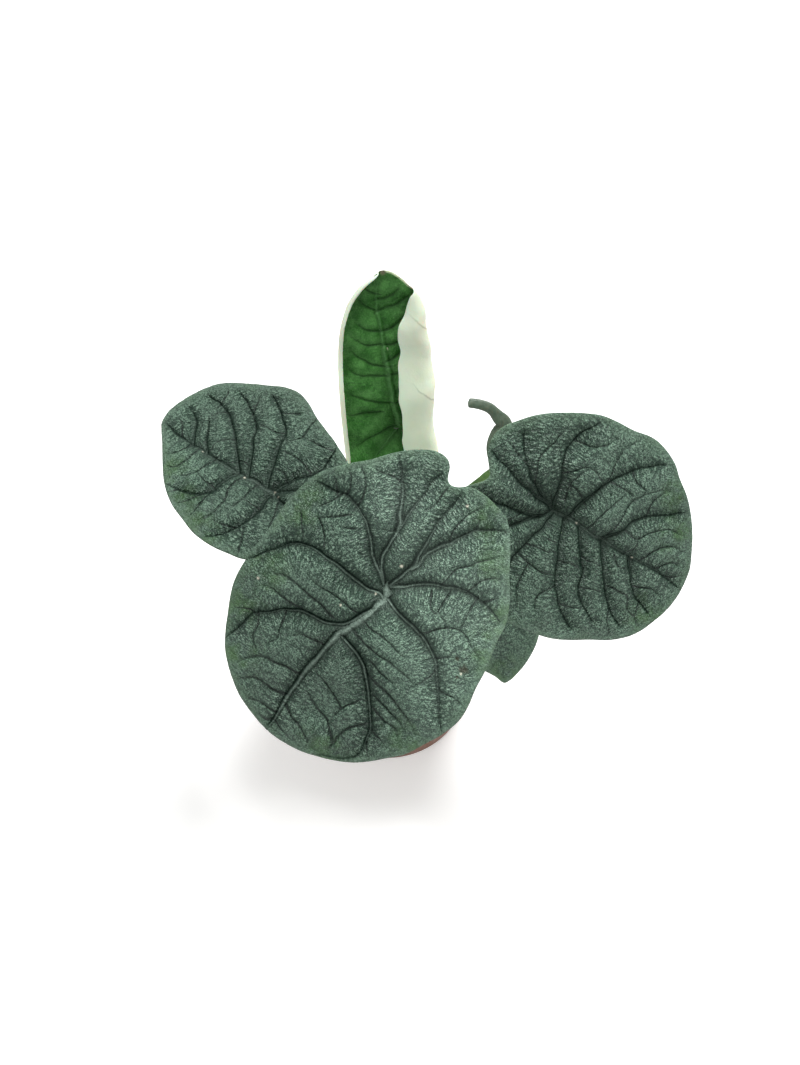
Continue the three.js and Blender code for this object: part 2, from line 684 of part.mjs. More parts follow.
function soilGeometry() {
  const size = SOIL_GRID + 1;
  const [top, bottom] = [[], []];
  const floor = POT_FLOOR + CLEARANCE;
  const inset = POT_WALL + 2 * CLEARANCE;
  const topRadius = wallRadius(SOIL_TOP - 2 * SOIL_EDGE_DROP) - inset;
  const bottomRadius = wallRadius(floor) - inset;
  for (let i = 0; i < size; i += 1) {
    for (let j = 0; j < size; j += 1) {
      const [x, y] = discPoint((2 * i) / SOIL_GRID - 1, (2 * j) / SOIL_GRID - 1);
      const edge = Math.hypot(x, y) > 1 - SAME_POINT;
      const height = edge ? SOIL_TOP - SOIL_EDGE_DROP : soilHeight(x * topRadius, y * topRadius);
      top.push([x * topRadius, y * topRadius, height]);
      bottom.push([x * bottomRadius, y * bottomRadius, floor]);
    }
  }
  let filling = solidOf(geometryOf([...top, ...bottom], sheetFaces(size)));
  filling = filling.subtract(crownSolid(CLEARANCE));
  for (const stalk of STALKS) filling = filling.subtract(stalkSolid(stalk, CLEARANCE));
  return geometryOfSolid(filling);
}

// ---- leaf stalks ----

function leafStalkSection(s) {
  const swell = STALK_FOOT_SWELL.size * Math.exp(-((s / STALK_FOOT_SWELL.reach) ** 2));
  const taper = Math.min(1, s / STALK_TAPER_END);
  const radius = THREE.MathUtils.lerp(STALK_BASE_RADIUS, STALK_TOP_RADIUS, taper);
  return [radius + swell, radius + swell];
}

// The section between the two stops that s lies between.
function oldStalkSection(s) {
  const place = s * (OLD_STALK_STOPS.length - 1);
  const before = OLD_STALK_STOPS[Math.floor(place)];
  const after = OLD_STALK_STOPS[Math.ceil(place)];
  return ["wide", "deep"].map((side) => THREE.MathUtils.lerp(before[side], after[side], place % 1));
}

// A stalk leaves the crown steeply and comes up square to the blade's underside.
function leafStalkCurve({ leaf, azimuth, rise, approach }) {
  const angle = THREE.MathUtils.degToRad(azimuth);
  const out = new THREE.Vector3(Math.cos(angle), Math.sin(angle), 0);
  const foot = out.clone().multiplyScalar(STALK_FOOT_RING).setZ(STALK_FOOT_HEIGHT);
  const way = out.clone().multiplyScalar(STALK_RISE_SLOPE.out).setZ(STALK_RISE_SLOPE.up);
  const { seat, normal } = bladeSeat(leaf);
  return new THREE.CubicBezierCurve3(
    foot,
    foot.clone().addScaledVector(way, rise),
    seat.clone().addScaledVector(normal, -approach),
    seat,
  );
}

// The newest stalk rises from the middle of the crown.
function youngStalkCurve() {
  const { seat, normal } = bladeSeat(YOUNG);
  const below = seat.clone().addScaledVector(normal, -YOUNG_STALK.approach);
  below.z -= YOUNG_STALK.below;
  return new THREE.CubicBezierCurve3(vector(YOUNG_STALK.foot), vector(YOUNG_STALK.rise), below, seat);
}

function stalkSolid({ curve, sectionAt, facing, steps }, grow) {
  const grown = (s) => sectionAt(s).map((half) => half + grow);
  return solidOf(tube(curve, grown, facing, STALK_SIDES, steps));
}

// A stalk sits on the crown's flank, and its top fits the underside of its blade.
function stalkGeometry(stalk) {
  let solid = stalkSolid(stalk, 0).subtract(crownSolid(CLEARANCE));
  if (stalk.leaf) {
    const slab = bladeSlab(stalk.leaf, SEAT_CUT_ABOVE, BLADE_THICKNESS + CLEARANCE);
    solid = solid.subtract(solidOf(slab));
  }
  return geometryOfSolid(solid);
}

const STALKS = [
  ...LEAF_STALKS.map((stalk) => ({
    name: stalk.leaf.name,
    leaf: stalk.leaf,
    curve: leafStalkCurve(stalk),
    sectionAt: leafStalkSection,
    facing: vector(STALK_FACING),
    steps: STALK_STEPS,
  })),
  {
    name: "young",
    leaf: YOUNG,
    curve: youngStalkCurve(),
    sectionAt: leafStalkSection,
    facing: vector(YOUNG_STALK_FACING),
    steps: STALK_STEPS,
  },
  {
    name: "old",
    curve: new THREE.CatmullRomCurve3(
      OLD_STALK_STOPS.map((stop) => vector(stop.at)),
      false,
      "centripetal",
    ),
    sectionAt: oldStalkSection,
    facing: vector(OLD_STALK_FACING),
    steps: OLD_STALK_STEPS,
  },
];

// ---- the plant ----

const plant = new THREE.Group();
plant.add(named("pot", potGeometry(), "pot"));
plant.add(named("soil", soilGeometry(), "soil"));
plant.add(named("crown", geometryOfSolid(crownSolid(0)), "crown"));
for (const stalk of STALKS) plant.add(named(`stalk_${stalk.name}`, stalkGeometry(stalk), "stalk"));
for (const leaf of [FRONT, LEFT, RIGHT, LOW]) {
  plant.add(named(`blade_${leaf.name}`, bladeGeometry(leaf), "blade"));
}
plant.add(named("blade_young", bladeGeometry(YOUNG), "youngBlade"));

export default plant;
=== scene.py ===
import math

import bmesh
import bpy
import numpy as np
from mathutils import Matrix, Vector


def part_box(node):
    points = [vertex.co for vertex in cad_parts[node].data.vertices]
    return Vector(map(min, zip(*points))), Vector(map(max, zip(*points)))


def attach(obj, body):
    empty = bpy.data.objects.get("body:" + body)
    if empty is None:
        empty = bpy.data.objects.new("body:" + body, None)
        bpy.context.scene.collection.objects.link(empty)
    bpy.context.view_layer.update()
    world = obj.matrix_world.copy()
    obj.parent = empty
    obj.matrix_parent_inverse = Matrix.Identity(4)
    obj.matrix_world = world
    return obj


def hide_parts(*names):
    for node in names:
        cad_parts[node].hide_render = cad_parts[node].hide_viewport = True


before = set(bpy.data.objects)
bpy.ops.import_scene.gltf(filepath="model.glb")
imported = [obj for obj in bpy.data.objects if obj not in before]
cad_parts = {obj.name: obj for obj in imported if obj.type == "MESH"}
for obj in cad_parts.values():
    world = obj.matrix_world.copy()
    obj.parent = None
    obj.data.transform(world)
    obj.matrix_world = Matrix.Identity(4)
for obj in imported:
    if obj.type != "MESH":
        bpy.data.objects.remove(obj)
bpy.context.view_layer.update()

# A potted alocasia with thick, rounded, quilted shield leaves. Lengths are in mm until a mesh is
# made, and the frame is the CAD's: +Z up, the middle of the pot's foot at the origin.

MM = 0.001
SEED = 4337

# ---- the pot's sizes, from the frame ----

POT_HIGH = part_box("pot")[1]
POT_HEIGHT = POT_HIGH.z / MM
POT_RIM_RADIUS = POT_HIGH.x / MM
POT_FOOT_RADIUS = 41.0
POT_NECK_RADIUS = 49.5
POT_RIM_BAND = 13.0
POT_WALL = 1.5
POT_FLOOR = 3.0
SOIL_TOP = 80.5

# ---- leaves ----
# A blade lies on a plane through its attachment point, with u towards the tip, v to the left of it
# and the height along facing. Outlines, veins and marks are (u, v) in mm.

FRONT = {
    "name": "blade_front",
    "cords": 1.0,
    "tone_and_painted_light": 1.0,
    "seed": 1,
    "grid": 264,
    "attachment": (0.7, -75.8, 188.2),
    "tip_way": (-0.617, -0.442, -0.651),
    "facing": (-0.152, -0.745, 0.649),
    "arch": {"tip": 0.0012, "back": 0.0006, "side": 0.0008},
    "cup": (4.0, 14.0),
    "centre": (11, 2),
    "waves": (5, 0.6),
    "outline": [
        (72, 0), (71.7, 4.5), (70, 12.8), (67.5, 19.5), (64.2, 26.2), (60, 32.4), (55, 37),
        (50, 40.7), (44, 44.8), (36.7, 47.4), (28.3, 50), (20, 51.2), (13.3, 50.2), (6.7, 48.2),
        (-0.8, 46.6), (-11.7, 43), (-18.3, 41.4), (-25.8, 37), (-33.3, 30.8), (-38.3, 27),
        (-42.5, 23.7), (-45.8, 20.3), (-47.9, 17), (-48.8, 12), (-49.2, 7.8), (-48.8, 3.7),
        (-47.5, 0), (-45.4, -2.2), (-44.3, -4.7), (-45.2, -6.8), (-48.8, -8.8), (-50.4, -10.9),
        (-50.7, -13.8), (-49.6, -17.2), (-46.7, -21.3), (-42.5, -25.5), (-38.3, -28.8),
        (-33.3, -32.2), (-27.5, -37.2), (-20, -42.5), (-13, -45), (-1.7, -46.3), (6.7, -45.7),
        (15.8, -45.5), (23.3, -45.3), (33.3, -43.7), (40, -41), (45, -38.4), (50.8, -35.5),
        (56.7, -31.8), (61.7, -26.8), (65.8, -21.3), (68.8, -15.5), (70, -11.3), (71.3, -5.5),
    ],
    "main_veins": [
        [(-0.4, 0), (3.3, 2.5), (8.3, 2.7), (14.2, 1.6), (20, -0.1), (25, -2), (31.7, -2.6),
         (40.8, -2.8), (49.2, -2.6), (57.5, -1.8), (65, -0.7), (71.7, 0)],
        [(3.3, 3.3), (4, 12), (4.6, 18.7), (6.3, 25.3), (8.8, 30.3), (14.2, 36.2), (18.3, 40.3),
         (24.2, 45.3), (27, 48.8)],
        [(24.2, -1), (25.8, 7.8), (29.2, 14.5), (34.2, 19.5), (39.2, 23.7), (44.2, 28.2), (50, 31),
         (55.8, 32.2), (60, 29.8), (64, 25), (66.5, 21)],
        [(-1, 1.5), (-4.2, 5.3), (-8.3, 8.7), (-13.3, 14.5), (-15.8, 18.7), (-18.3, 24.5),
         (-19, 30.3), (-18.3, 35.3), (-17.5, 39)],
        [(-1, 0.8), (-8.3, 2.7), (-15, 2.8), (-21.7, 2), (-30, 0.5), (-42.5, 0.3)],
        [(-11, 3.2), (-15, 4), (-20, 4.2), (-24, 5.8), (-28, 8), (-33, 10.3), (-38, 12.6),
         (-40, 15.5), (-43, 19.5)],
        [(4.4, 2.2), (4.8, -8.8), (4.6, -17.2), (5.2, -25.5), (6.3, -31.3), (8.3, -34.7),
         (12.5, -38), (19, -41.5), (23, -44)],
        [(10, 1.6), (18.3, -1.3), (22.1, -4.3), (24.2, -9.7), (26.3, -16.3), (29.2, -21.3),
         (35, -26.8), (39.5, -30.8), (46, -32), (53, -33.4)],
        [(0, -1.2), (-1.7, -3.8), (-5, -8.8), (-10, -13.8), (-14.2, -18.8), (-16.7, -24.7),
         (-17.1, -29.7), (-15.8, -36.3), (-15, -41)],
        [(-0.8, -2), (-5, -5.9), (-13.3, -8), (-20, -9.3), (-30, -9.8), (-44.2, -10)],
        [(-19, -9.4), (-22, -10.3), (-27, -13.6), (-32, -17), (-36, -20.5), (-40, -24.8)],
    ],
    "branch_veins": [
        [(57.5, 20.5), (55.3, 18), (53.4, 14.8), (52.2, 10), (50.6, 6), (49, 2), (48.3, -1.5)],
        [(59, -1), (60.3, 4), (61.8, 9), (64, 13.5), (66.5, 17)],
        [(44.5, 26.8), (48, 24.2), (52, 22.4), (57, 21.4), (61, 21.8), (65, 23.2)],
        [(46, -3), (46.5, -9), (48.2, -14), (50.3, -19), (53.5, -22.5), (59, -24.5)],
        [(55.5, -2.5), (57, -7.5), (57.3, -12.5), (58.8, -16.5), (62, -19), (65, -21)],
        [(63.2, -0.7), (64.5, -6), (66, -11), (68, -14.5)],
        [(66.5, -0.7), (69, -3), (69.8, -8)],
        [(20, -7.5), (19.3, -13), (19.2, -20), (18.8, -26), (19.6, -31.5), (22.5, -35.5)],
        [(25.6, -17.5), (26, -23), (26.3, -29), (27.7, -34.5)],
        [(19.6, 0), (20.2, 8), (19.8, 15), (19.7, 25), (20.4, 31)],
        [(28.6, 14), (29.2, 20), (29.8, 27), (31.3, 33), (33, 38), (35.5, 43)],
        [(38.3, 25.5), (38.8, 30), (38.9, 36), (41, 40.5)],
        [(45.7, 29.5), (45.6, 34), (46.5, 38)],
    ],
    "side_veins": [
        [(4.6, 20.5), (1.5, 22.3), (-1.5, 24), (-4.5, 27), (-6.3, 30.5), (-5.8, 34.5), (-4, 38),
         (-3, 42)],
        [(-15, 18.7), (-6, 20), (-5.2, 22), (-4.5, 27)],
        [(-10, 14), (-6, 16.5), (-5, 18.5), (-5.3, 22)],
        [(7.8, 30.3), (5, 32.8), (3, 35.5)],
        [(10, 32.8), (14, 33.2), (17.5, 31.8), (20.5, 30.8)],
        [(15, 2), (15, 6), (14, 12), (13.8, 17), (15, 22)],
        [(24.3, 14), (25, 20), (25.5, 26)],
        [(16.2, 39.2), (14.8, 43.5), (15, 48.5)],
        [(39.5, 19), (45, 16.2), (53.3, 15.4)],
        [(34, 22.5), (34.4, 29), (35.5, 35), (38, 39.5)],
        [(45.5, 15.5), (42.5, 9), (41.5, 3), (41.5, -2)],
        [(66.5, -0.5), (67.5, 4.5), (68.3, 10.3)],
        [(50.5, 31.5), (54, 34.5), (54.6, 36)],
        [(-18, 24.2), (-24, 24.5), (-28, 27), (-30.5, 31)],
        [(-14.5, 15), (-22, 15.8), (-28, 18.5), (-33, 22.5), (-37, 25)],
        [(-29, 7.5), (-34, 6.2), (-40, 6.6), (-46.5, 9.5)],
        [(-38, 12.3), (-42, 10.5)],
        [(-19, 30.5), (-22, 32.3), (-25.5, 34.3)],
        [(-20, 28), (-11, 29), (-6.5, 30)],
        [(-42, -4.8), (-36, -5), (-30, -6)],
        [(-34, -19), (-33, -24), (-31.5, -29)],
        [(-17, -25.6), (-21, -26), (-25, -27.8), (-28, -31), (-29, -34.5)],
        [(-17.2, -31.2), (-21, -31.8), (-24.5, -34), (-26, -36)],
        [(-16.3, -34.5), (-19.5, -37), (-21, -39)],
        [(-13.3, -25.5), (-9.5, -28.8), (-8, -30.5), (-5, -33.5)],
        [(-16.5, -32.5), (-12, -34.3), (-8, -36)],
        [(-10.3, -21.5), (-7.5, -25.7)],
        [(-5, -33.5), (-3, -30), (0.5, -27), (4.3, -24.5)],
        [(-2, -39.5), (1.5, -36), (5.2, -32.8)],
        [(13.8, -1), (13.4, -9), (13.5, -15), (14, -20), (13.2, -24.5)],
        [(30.5, -4), (31, -8), (33, -12), (36, -14.8)],
        [(30.5, -21.5), (36, -19.5), (41, -19), (45, -20.5)],
        [(38, -29.5), (42, -27), (47, -25), (49.5, -20.5)],
        [(38.8, -30.8), (39.2, -34.5), (41.5, -38.5)],
    ],
    "greens": [
        (-8, 43, 8), (36, 43, 9), (62, 20, 8), (-5, -41, 8), (22, -37, 8), (55, -28, 9),
        (40, -37, 9), (-44, 14, 7), (-34, 25, 7), (-21, 38, 5),
    ],
    # Spots of painted light and painted shade, each u, v, size and gain.
    "painted_light_and_shade": [
        (-20, 26, 26, 0.75), (-28, -18, 20, 0.6), (14, 36, 18, 0.3), (12, 14, 9, 0.12),
        (42, 10, 26, -0.16),
    ],
    "specks": [
        (-10.2, 0, 0.6), (4.5, -0.9, 0.35), (14.8, -8, 0.35), (26.6, -37.4, 0.5),
        (-42.3, 4.4, 0.45), (5.8, 40.7, 0.35),
    ],
    "scars": [(4, 40.6, 1.5), (2.4, 36.2, 0.8), (7.6, 40.4, 0.5)],
}

LEFT = {
    "name": "blade_left",
    "cords": 0.25,
    # Painted shade all over this leaf, and a spot of painted light towards its tip.
    "tone_and_painted_light": 0.8,
    "painted_light_and_shade": [(38, 4, 20, 0.25)],
    "greens": [(26, 26, 9), (40, 16, 8), (10, 30, 8)],
    "seed": 2,
    "grid": 196,
    "attachment": (-43.4, -22, 185),
    "tip_way": (-0.813, 0.579, 0.055),
    "facing": (-0.06, -0.177, 0.982),
    "arch": {"tip": 0.0012, "back": 0.0006, "side": 0.001},
    "cup": (4.0, 12.0),
    "centre": (14, -2),
    "waves": (4, 1.9),
    "outline": [
        (58.2, 0), (56.4, 2.1), (50.7, 7.9), (44.3, 15), (39.3, 20), (33.6, 24.3), (27.1, 27.9),
        (19.3, 30.7), (12.1, 32.9), (6.4, 33.4), (0.7, 33.2), (-5, 32.1), (-11.4, 30.6),
        (-22, 24), (-29, 14), (-31, 5), (-27, -1), (-31, -7), (-29, -15), (-24.5, -21),
        (-19.3, -25), (-16.4, -26.8), (-11.4, -29.2), (-7.1, -31.2), (-2.1, -33), (5, -35.9),
        (12.1, -39.7), (19.3, -42), (26.4, -41.4), (33.6, -38.7), (40.7, -36),
        (47.1, -32.8), (51.4, -29.3), (55, -23.8), (57.9, -16.6), (59.3, -9.3), (59.5, -5),
    ],
    "main_veins": [
        [(0, -1), (5, 0), (10.7, 1.1), (16.4, 1.4), (22.9, 1.8), (33.6, 1.2), (40.7, 0.9),
         (47.9, 0.4), (55, -0.7)],
        [(0.6, -0.5), (-0.7, 7.1), (-1.8, 14.3), (-0.7, 20.7), (2.1, 25.7), (6.4, 30.7)],
        [(16.9, 1.5), (18.2, 10), (20.4, 15.7), (24.3, 19.3), (30, 20.9), (35.7, 21.1)],
        [(0.3, -1.5), (-5, -9.3), (-9.3, -13.6), (-11.1, -18.6), (-10.7, -25), (-10, -27.9)],
        [(4, -1), (5.7, -4.3), (7.9, -10.7), (10, -17.9), (11.4, -22.9), (15.7, -27.1),
         (19.3, -30.7), (27.1, -35)],
        [(12.5, 1), (16.4, -7.1), (20.7, -14.3), (25, -20.7), (32.1, -25.7), (39.3, -29.3)],
        [(16.9, 1), (22.9, -5.7), (29.3, -12.1), (35.7, -17.1), (40.7, -20), (50.7, -21.4)],
        [(33.2, 1.2), (37.9, -5), (42.1, -10.7)],
        [(40.3, 0.9), (45, -5.7), (50, -10.7), (54, -12)],
        [(0, -0.8), (-14, 5), (-27, 6)],
        [(0, -1), (-14, -7), (-28, -9)],
    ],
    "side_veins": [
        [(7, 0.5), (6.8, 5.7), (6.4, 12.9), (7.9, 18.6)],
        [(14, 1.5), (13.6, 10), (11.4, 15.7), (11.1, 21.4), (12.1, 26.4), (13.9, 30)],
        [(19, 15), (18.2, 21.4), (17.5, 26.4), (17.9, 29.3)],
        [(27.5, 1.6), (28.6, 5.7), (29.6, 10), (32.9, 15), (37.1, 12.9)],
        [(36.8, 1.1), (37.1, 4.3), (37.5, 10), (39.3, 13.6), (44.3, 14.3)],
        [(41, 0.9), (42.9, 7.1), (46.4, 10.7)],
        [(-0.3, 22.2), (5, 23.8), (10.7, 23.6)],
        [(-7.9, 29.3), (-5, 23.6), (-1.2, 18.3)],
        [(19, 12), (25.7, 12.1), (30, 10.5)],
        [(4.3, -35.7), (4.3, -30), (3.6, -25), (7.1, -20.7), (10.8, -20)],
        [(12.5, -23), (14.3, -21.4), (23.6, -20.4)],
        [(-10.5, -26.5), (-5, -26), (3.6, -25.5)],
        [(11.4, -34.3), (15.7, -31.4), (19.3, -30.7)],
        [(38.5, -19), (40, -17.9), (42.9, -12.9)],
        [(-3, -6), (2, -9), (7, -9)],
        [(-9, -14), (-1, -16), (9, -15.5)],
        [(15, -4), (19, -3), (23, 1.5)],
        [(27, -10), (31, -5), (33, 1)],
        [(46, 0.4), (50, -4), (55, -6)],
        [(-1.5, 9), (3, 10), (6.5, 10)],
        [(22, 18), (25, 25), (27, 27)],
        [(31, 21), (33, 23.5), (34, 24)],
        [(-5, 2), (-10, 12), (-16, 22)],
        [(-14, 5), (-18, 12), (-24, 18)],
        [(29, -24), (31, -31), (33, -35)],
        [(44, -20.5), (45, -26), (47, -29)],
    ],
    "specks": [(13.2, 1.2, 0.4), (0.5, -1.5, 0.35), (-3, 0.2, 0.3), (35, 1.2, 0.3)],
    "scars": [],
}

RIGHT = {
    "name": "blade_right",
    "cords": 0.25,
    "tone_and_painted_light": 1.02,
    "greens": [(50, 20, 9), (38, 31, 8), (57, -14, 8)],
    "seed": 3,
    "grid": 232,
    "attachment": (67, -38, 184.6),
    "tip_way": (0.821, -0.194, -0.538),
    "facing": (0.197, -0.788, 0.584),
    "arch": {"tip": 0.0012, "back": 0.0006, "side": 0.001},
    "cup": (4.0, 12.0),
    "centre": (13, -1),
    "waves": (5, 3.1),
    "outline": [
        (64.8, -0.4), (64.2, 5.2), (62.3, 11.6), (58.8, 17.1), (54.2, 23), (48.7, 28.5),
        (42.5, 33.2), (35.3, 37.5), (30.6, 41), (25, 43.4), (19.4, 44.6), (15.4, 44.5),
        (8.5, 42.9), (0, 41.9), (-6.9, 40.5), (-13.1, 37.7), (-19.2, 34.2), (-25.4, 30),
        (-30, 25.8), (-33.8, 21.2), (-36.2, 18.1), (-38.1, 13.5), (-37.8, 8.8), (-36.2, 5),
        (-33.1, 1.2), (-31.5, -0.8), (-31.9, -3.1), (-34.6, -6.5), (-37.3, -9.6), (-38, -16),
        (-34, -25), (-24, -34), (-9, -41), (8.5, -45), (13.8, -44.2), (21.5, -43.1),
        (29.2, -41.2), (35.4, -38.5), (42.3, -34.6), (50, -30.4), (55.4, -25.8),
        (59.2, -20.4), (61.5, -15), (63.5, -8.8), (64.6, -3.5),
    ],
    "main_veins": [
        [(0, 0.4), (6.9, 1.2), (15.4, 1.2), (23.1, 1.4), (34.6, 1.5), (42.3, 2.1), (50, 2.7),
         (54.6, 2.8), (62, 2)],
        [(0, 0.6), (-8.5, 4.2), (-14.6, 5.8), (-19.2, 8.8), (-23.8, 13.5), (-27.7, 18.8)],
        [(-1, 0.6), (-3, 1.6), (-11.5, 2.2), (-19.2, 3.3), (-26.9, 5), (-35.4, 6.9)],
        [(0, 1), (-3.8, 8.8), (-6.9, 14.2), (-9.2, 19.6), (-10, 25.8), (-9.2, 31.2),
         (-6.2, 37.3)],
        [(6.9, 1.4), (7.3, 8.8), (9.2, 15), (11.5, 21.2), (14.6, 25.8), (18.5, 31.2),
         (23.8, 35.8), (26.9, 38.5)],
        [(22.3, 1.4), (24.6, 4.2), (27.7, 8.8), (30.8, 15), (35.4, 20.4), (41.5, 24.2),
         (45.4, 26.5)],
        [(0, 0), (-3.8, -4.2), (-11.5, -6.5), (-19.2, -7.7), (-25.4, -8.5), (-32, -9)],
        [(1.5, 0.5), (0.8, -5.8), (-1.5, -10.4), (-3.5, -15.8), (-4.6, -20.4), (-4, -36)],
        [(5.5, 1), (7.3, -3.5), (9.2, -8.8), (11.5, -14.2), (13.8, -18.8), (16.9, -23.5),
         (21.5, -28.1), (26.9, -31.9), (32, -34)],
        [(12.5, 1.2), (15, -2.7), (19.2, -8.8), (23.1, -14.2), (26.2, -20.4), (31, -24),
         (38, -27)],
        [(23.5, 1.4), (26.2, -3.5), (30.8, -8.8), (34.6, -13.5), (40, -18.1), (44.6, -20.8),
         (50, -23)],
        [(37, 1.8), (39.2, -1.9), (43.8, -6.5), (49.2, -10.4), (57.7, -13.1)],
        [(-4, -4.3), (-12, -12), (-20, -20), (-26, -27)],
    ],
    "side_veins": [
        [(9.2, 15), (10, 24.2), (8.5, 31.9), (10.8, 38.1)],
        [(12, 22), (18, 22.5), (23.8, 21.9)],
        [(23, 2.5), (23.8, 11.2), (23.8, 21.2), (30, 28.1), (34.6, 31.2)],
        [(28.5, 9.5), (33.8, 8.8), (38.5, 14.2), (43.8, 18.1), (51.5, 19.6)],
        [(41, 2.1), (44.6, 9.6), (50, 14.2), (55.4, 15)],
        [(-7, 14.5), (-2.3, 19.6), (0.8, 21.9), (10, 19)],
        [(-9.8, 28.1), (-3.8, 28.1), (0.8, 31.2), (3.8, 35.8)],
        [(34.6, -12.7), (40, -11.5), (45.4, -11.9), (48.5, -16.5), (57.7, -17.7)],
        [(-4.3, -20), (5.4, -21.9), (14.5, -20)],
        [(15, 1.3), (16, 10), (20, 22)],
        [(34, 1.5), (36, 6), (34, 9.5)],
        [(48, 2.6), (52, 7), (58, 9)],
        [(54, 2.8), (58, 4), (62, 7)],
        [(-14, 6), (-18, 14), (-17, 24), (-14, 32)],
        [(-20, 9.5), (-27, 12), (-34, 14)],
        [(0.6, 7), (-2, 13), (0.8, 21.9)],
        [(8, 9), (3, 12), (-5.5, 12)],
        [(17.5, 30), (21, 27), (27, 26)],
        [(33, 18), (31, 24), (34.6, 31.2)],
        [(45, -7.5), (51, -5), (58, -5.5)],
        [(30, -1), (34, -4), (40, -3)],
        [(19, -9), (25, -8), (30, -8)],
        [(12, -15), (17, -13), (22, -13)],
        [(3, -9), (8, -8.5)],
        [(-3.5, -15.5), (3, -14), (10.5, -12)],
        [(25, -19), (31, -17), (37, -16)],
        [(22, -28.5), (27, -27), (33, -25)],
        [(16.5, -23), (12, -30), (14, -38)],
        [(-11.5, -6.5), (-15, -12), (-13, -13)],
        [(52, -12), (54, -18), (57, -20)],
        [(42, -20), (45, -26), (49, -29)],
        [(1, -22), (3, -32), (8, -40)],
    ],
    "specks": [(10.5, 1.5, 0.3), (38, 1.9, 0.3)],
    "scars": [],
}

LOW = {
    "name": "blade_low",
    "cords": 0.15,
    # Painted light: this low leaf lies in the shade of the leaves above it and is made lighter all
    # over.
    "tone_and_painted_light": 1.32,
    "seed": 4,
    "grid": 116,
    "attachment": (47, -27.1, 122),
    "tip_way": (0.145, -0.618, -0.773),
    "facing": (-0.049, -0.785, 0.618),
    "arch": {"tip": 0.002, "back": 0.001, "side": 0.0022},
    "cup": (2.0, 9.0),
    "centre": (9, 0),
    "quilting": 0.45,
    "roughness": 0.55,
    "creases": 0.4,
    "greens": [(38, 2, 10)],
    "waves": (4, 0.4),
    "outline": [
        (42.6, -0.5), (41.6, 2.3), (38.7, 5.7), (32.8, 11.3), (25.6, 16), (15, 19.5), (2, 21.5),
        (-9, 21), (-19, 16), (-24, 8), (-21, 0), (-24, -8), (-19, -17), (-9, -24), (4, -26.5),
        (18, -25), (26, -21.5), (30.8, -16.6), (34.8, -10.3), (39, -4.2),
    ],
    "main_veins": [
        [(0, 0), (12, 0.5), (40, 0)],
        [(1, 0), (3, 7), (8, 14), (15, 20)],
        [(11, 0.5), (17, 8), (25, 13), (32, 14)],
        [(0, 0), (-6, 8), (-10, 19)],
        [(0, 0), (-12, 4), (-22, 8)],
        [(1, 0), (3, -7), (8, -15), (15, -22)],
        [(11, 0), (17, -8), (25, -14), (34, -16)],
        [(0, 0), (-6, -9), (-10, -21)],
        [(0, 0), (-12, -4), (-22, -8)],
    ],
    "side_veins": [
        [(21, 0.4), (26, 6), (34, 9)],
        [(29, 0.2), (33, 4), (38, 5)],
        [(21, 0.4), (26, -6), (35, -10)],
        [(29, 0.2), (33, -4), (39, -6)],
        [(5, 10), (12, 9), (17, 8)],
        [(5, -10), (12, -9), (17, -8)],
        [(-3, 4), (2, 8), (4, 9)],
        [(-3, -4), (2, -8), (4, -9)],
    ],
    "specks": [],
    "scars": [],
}


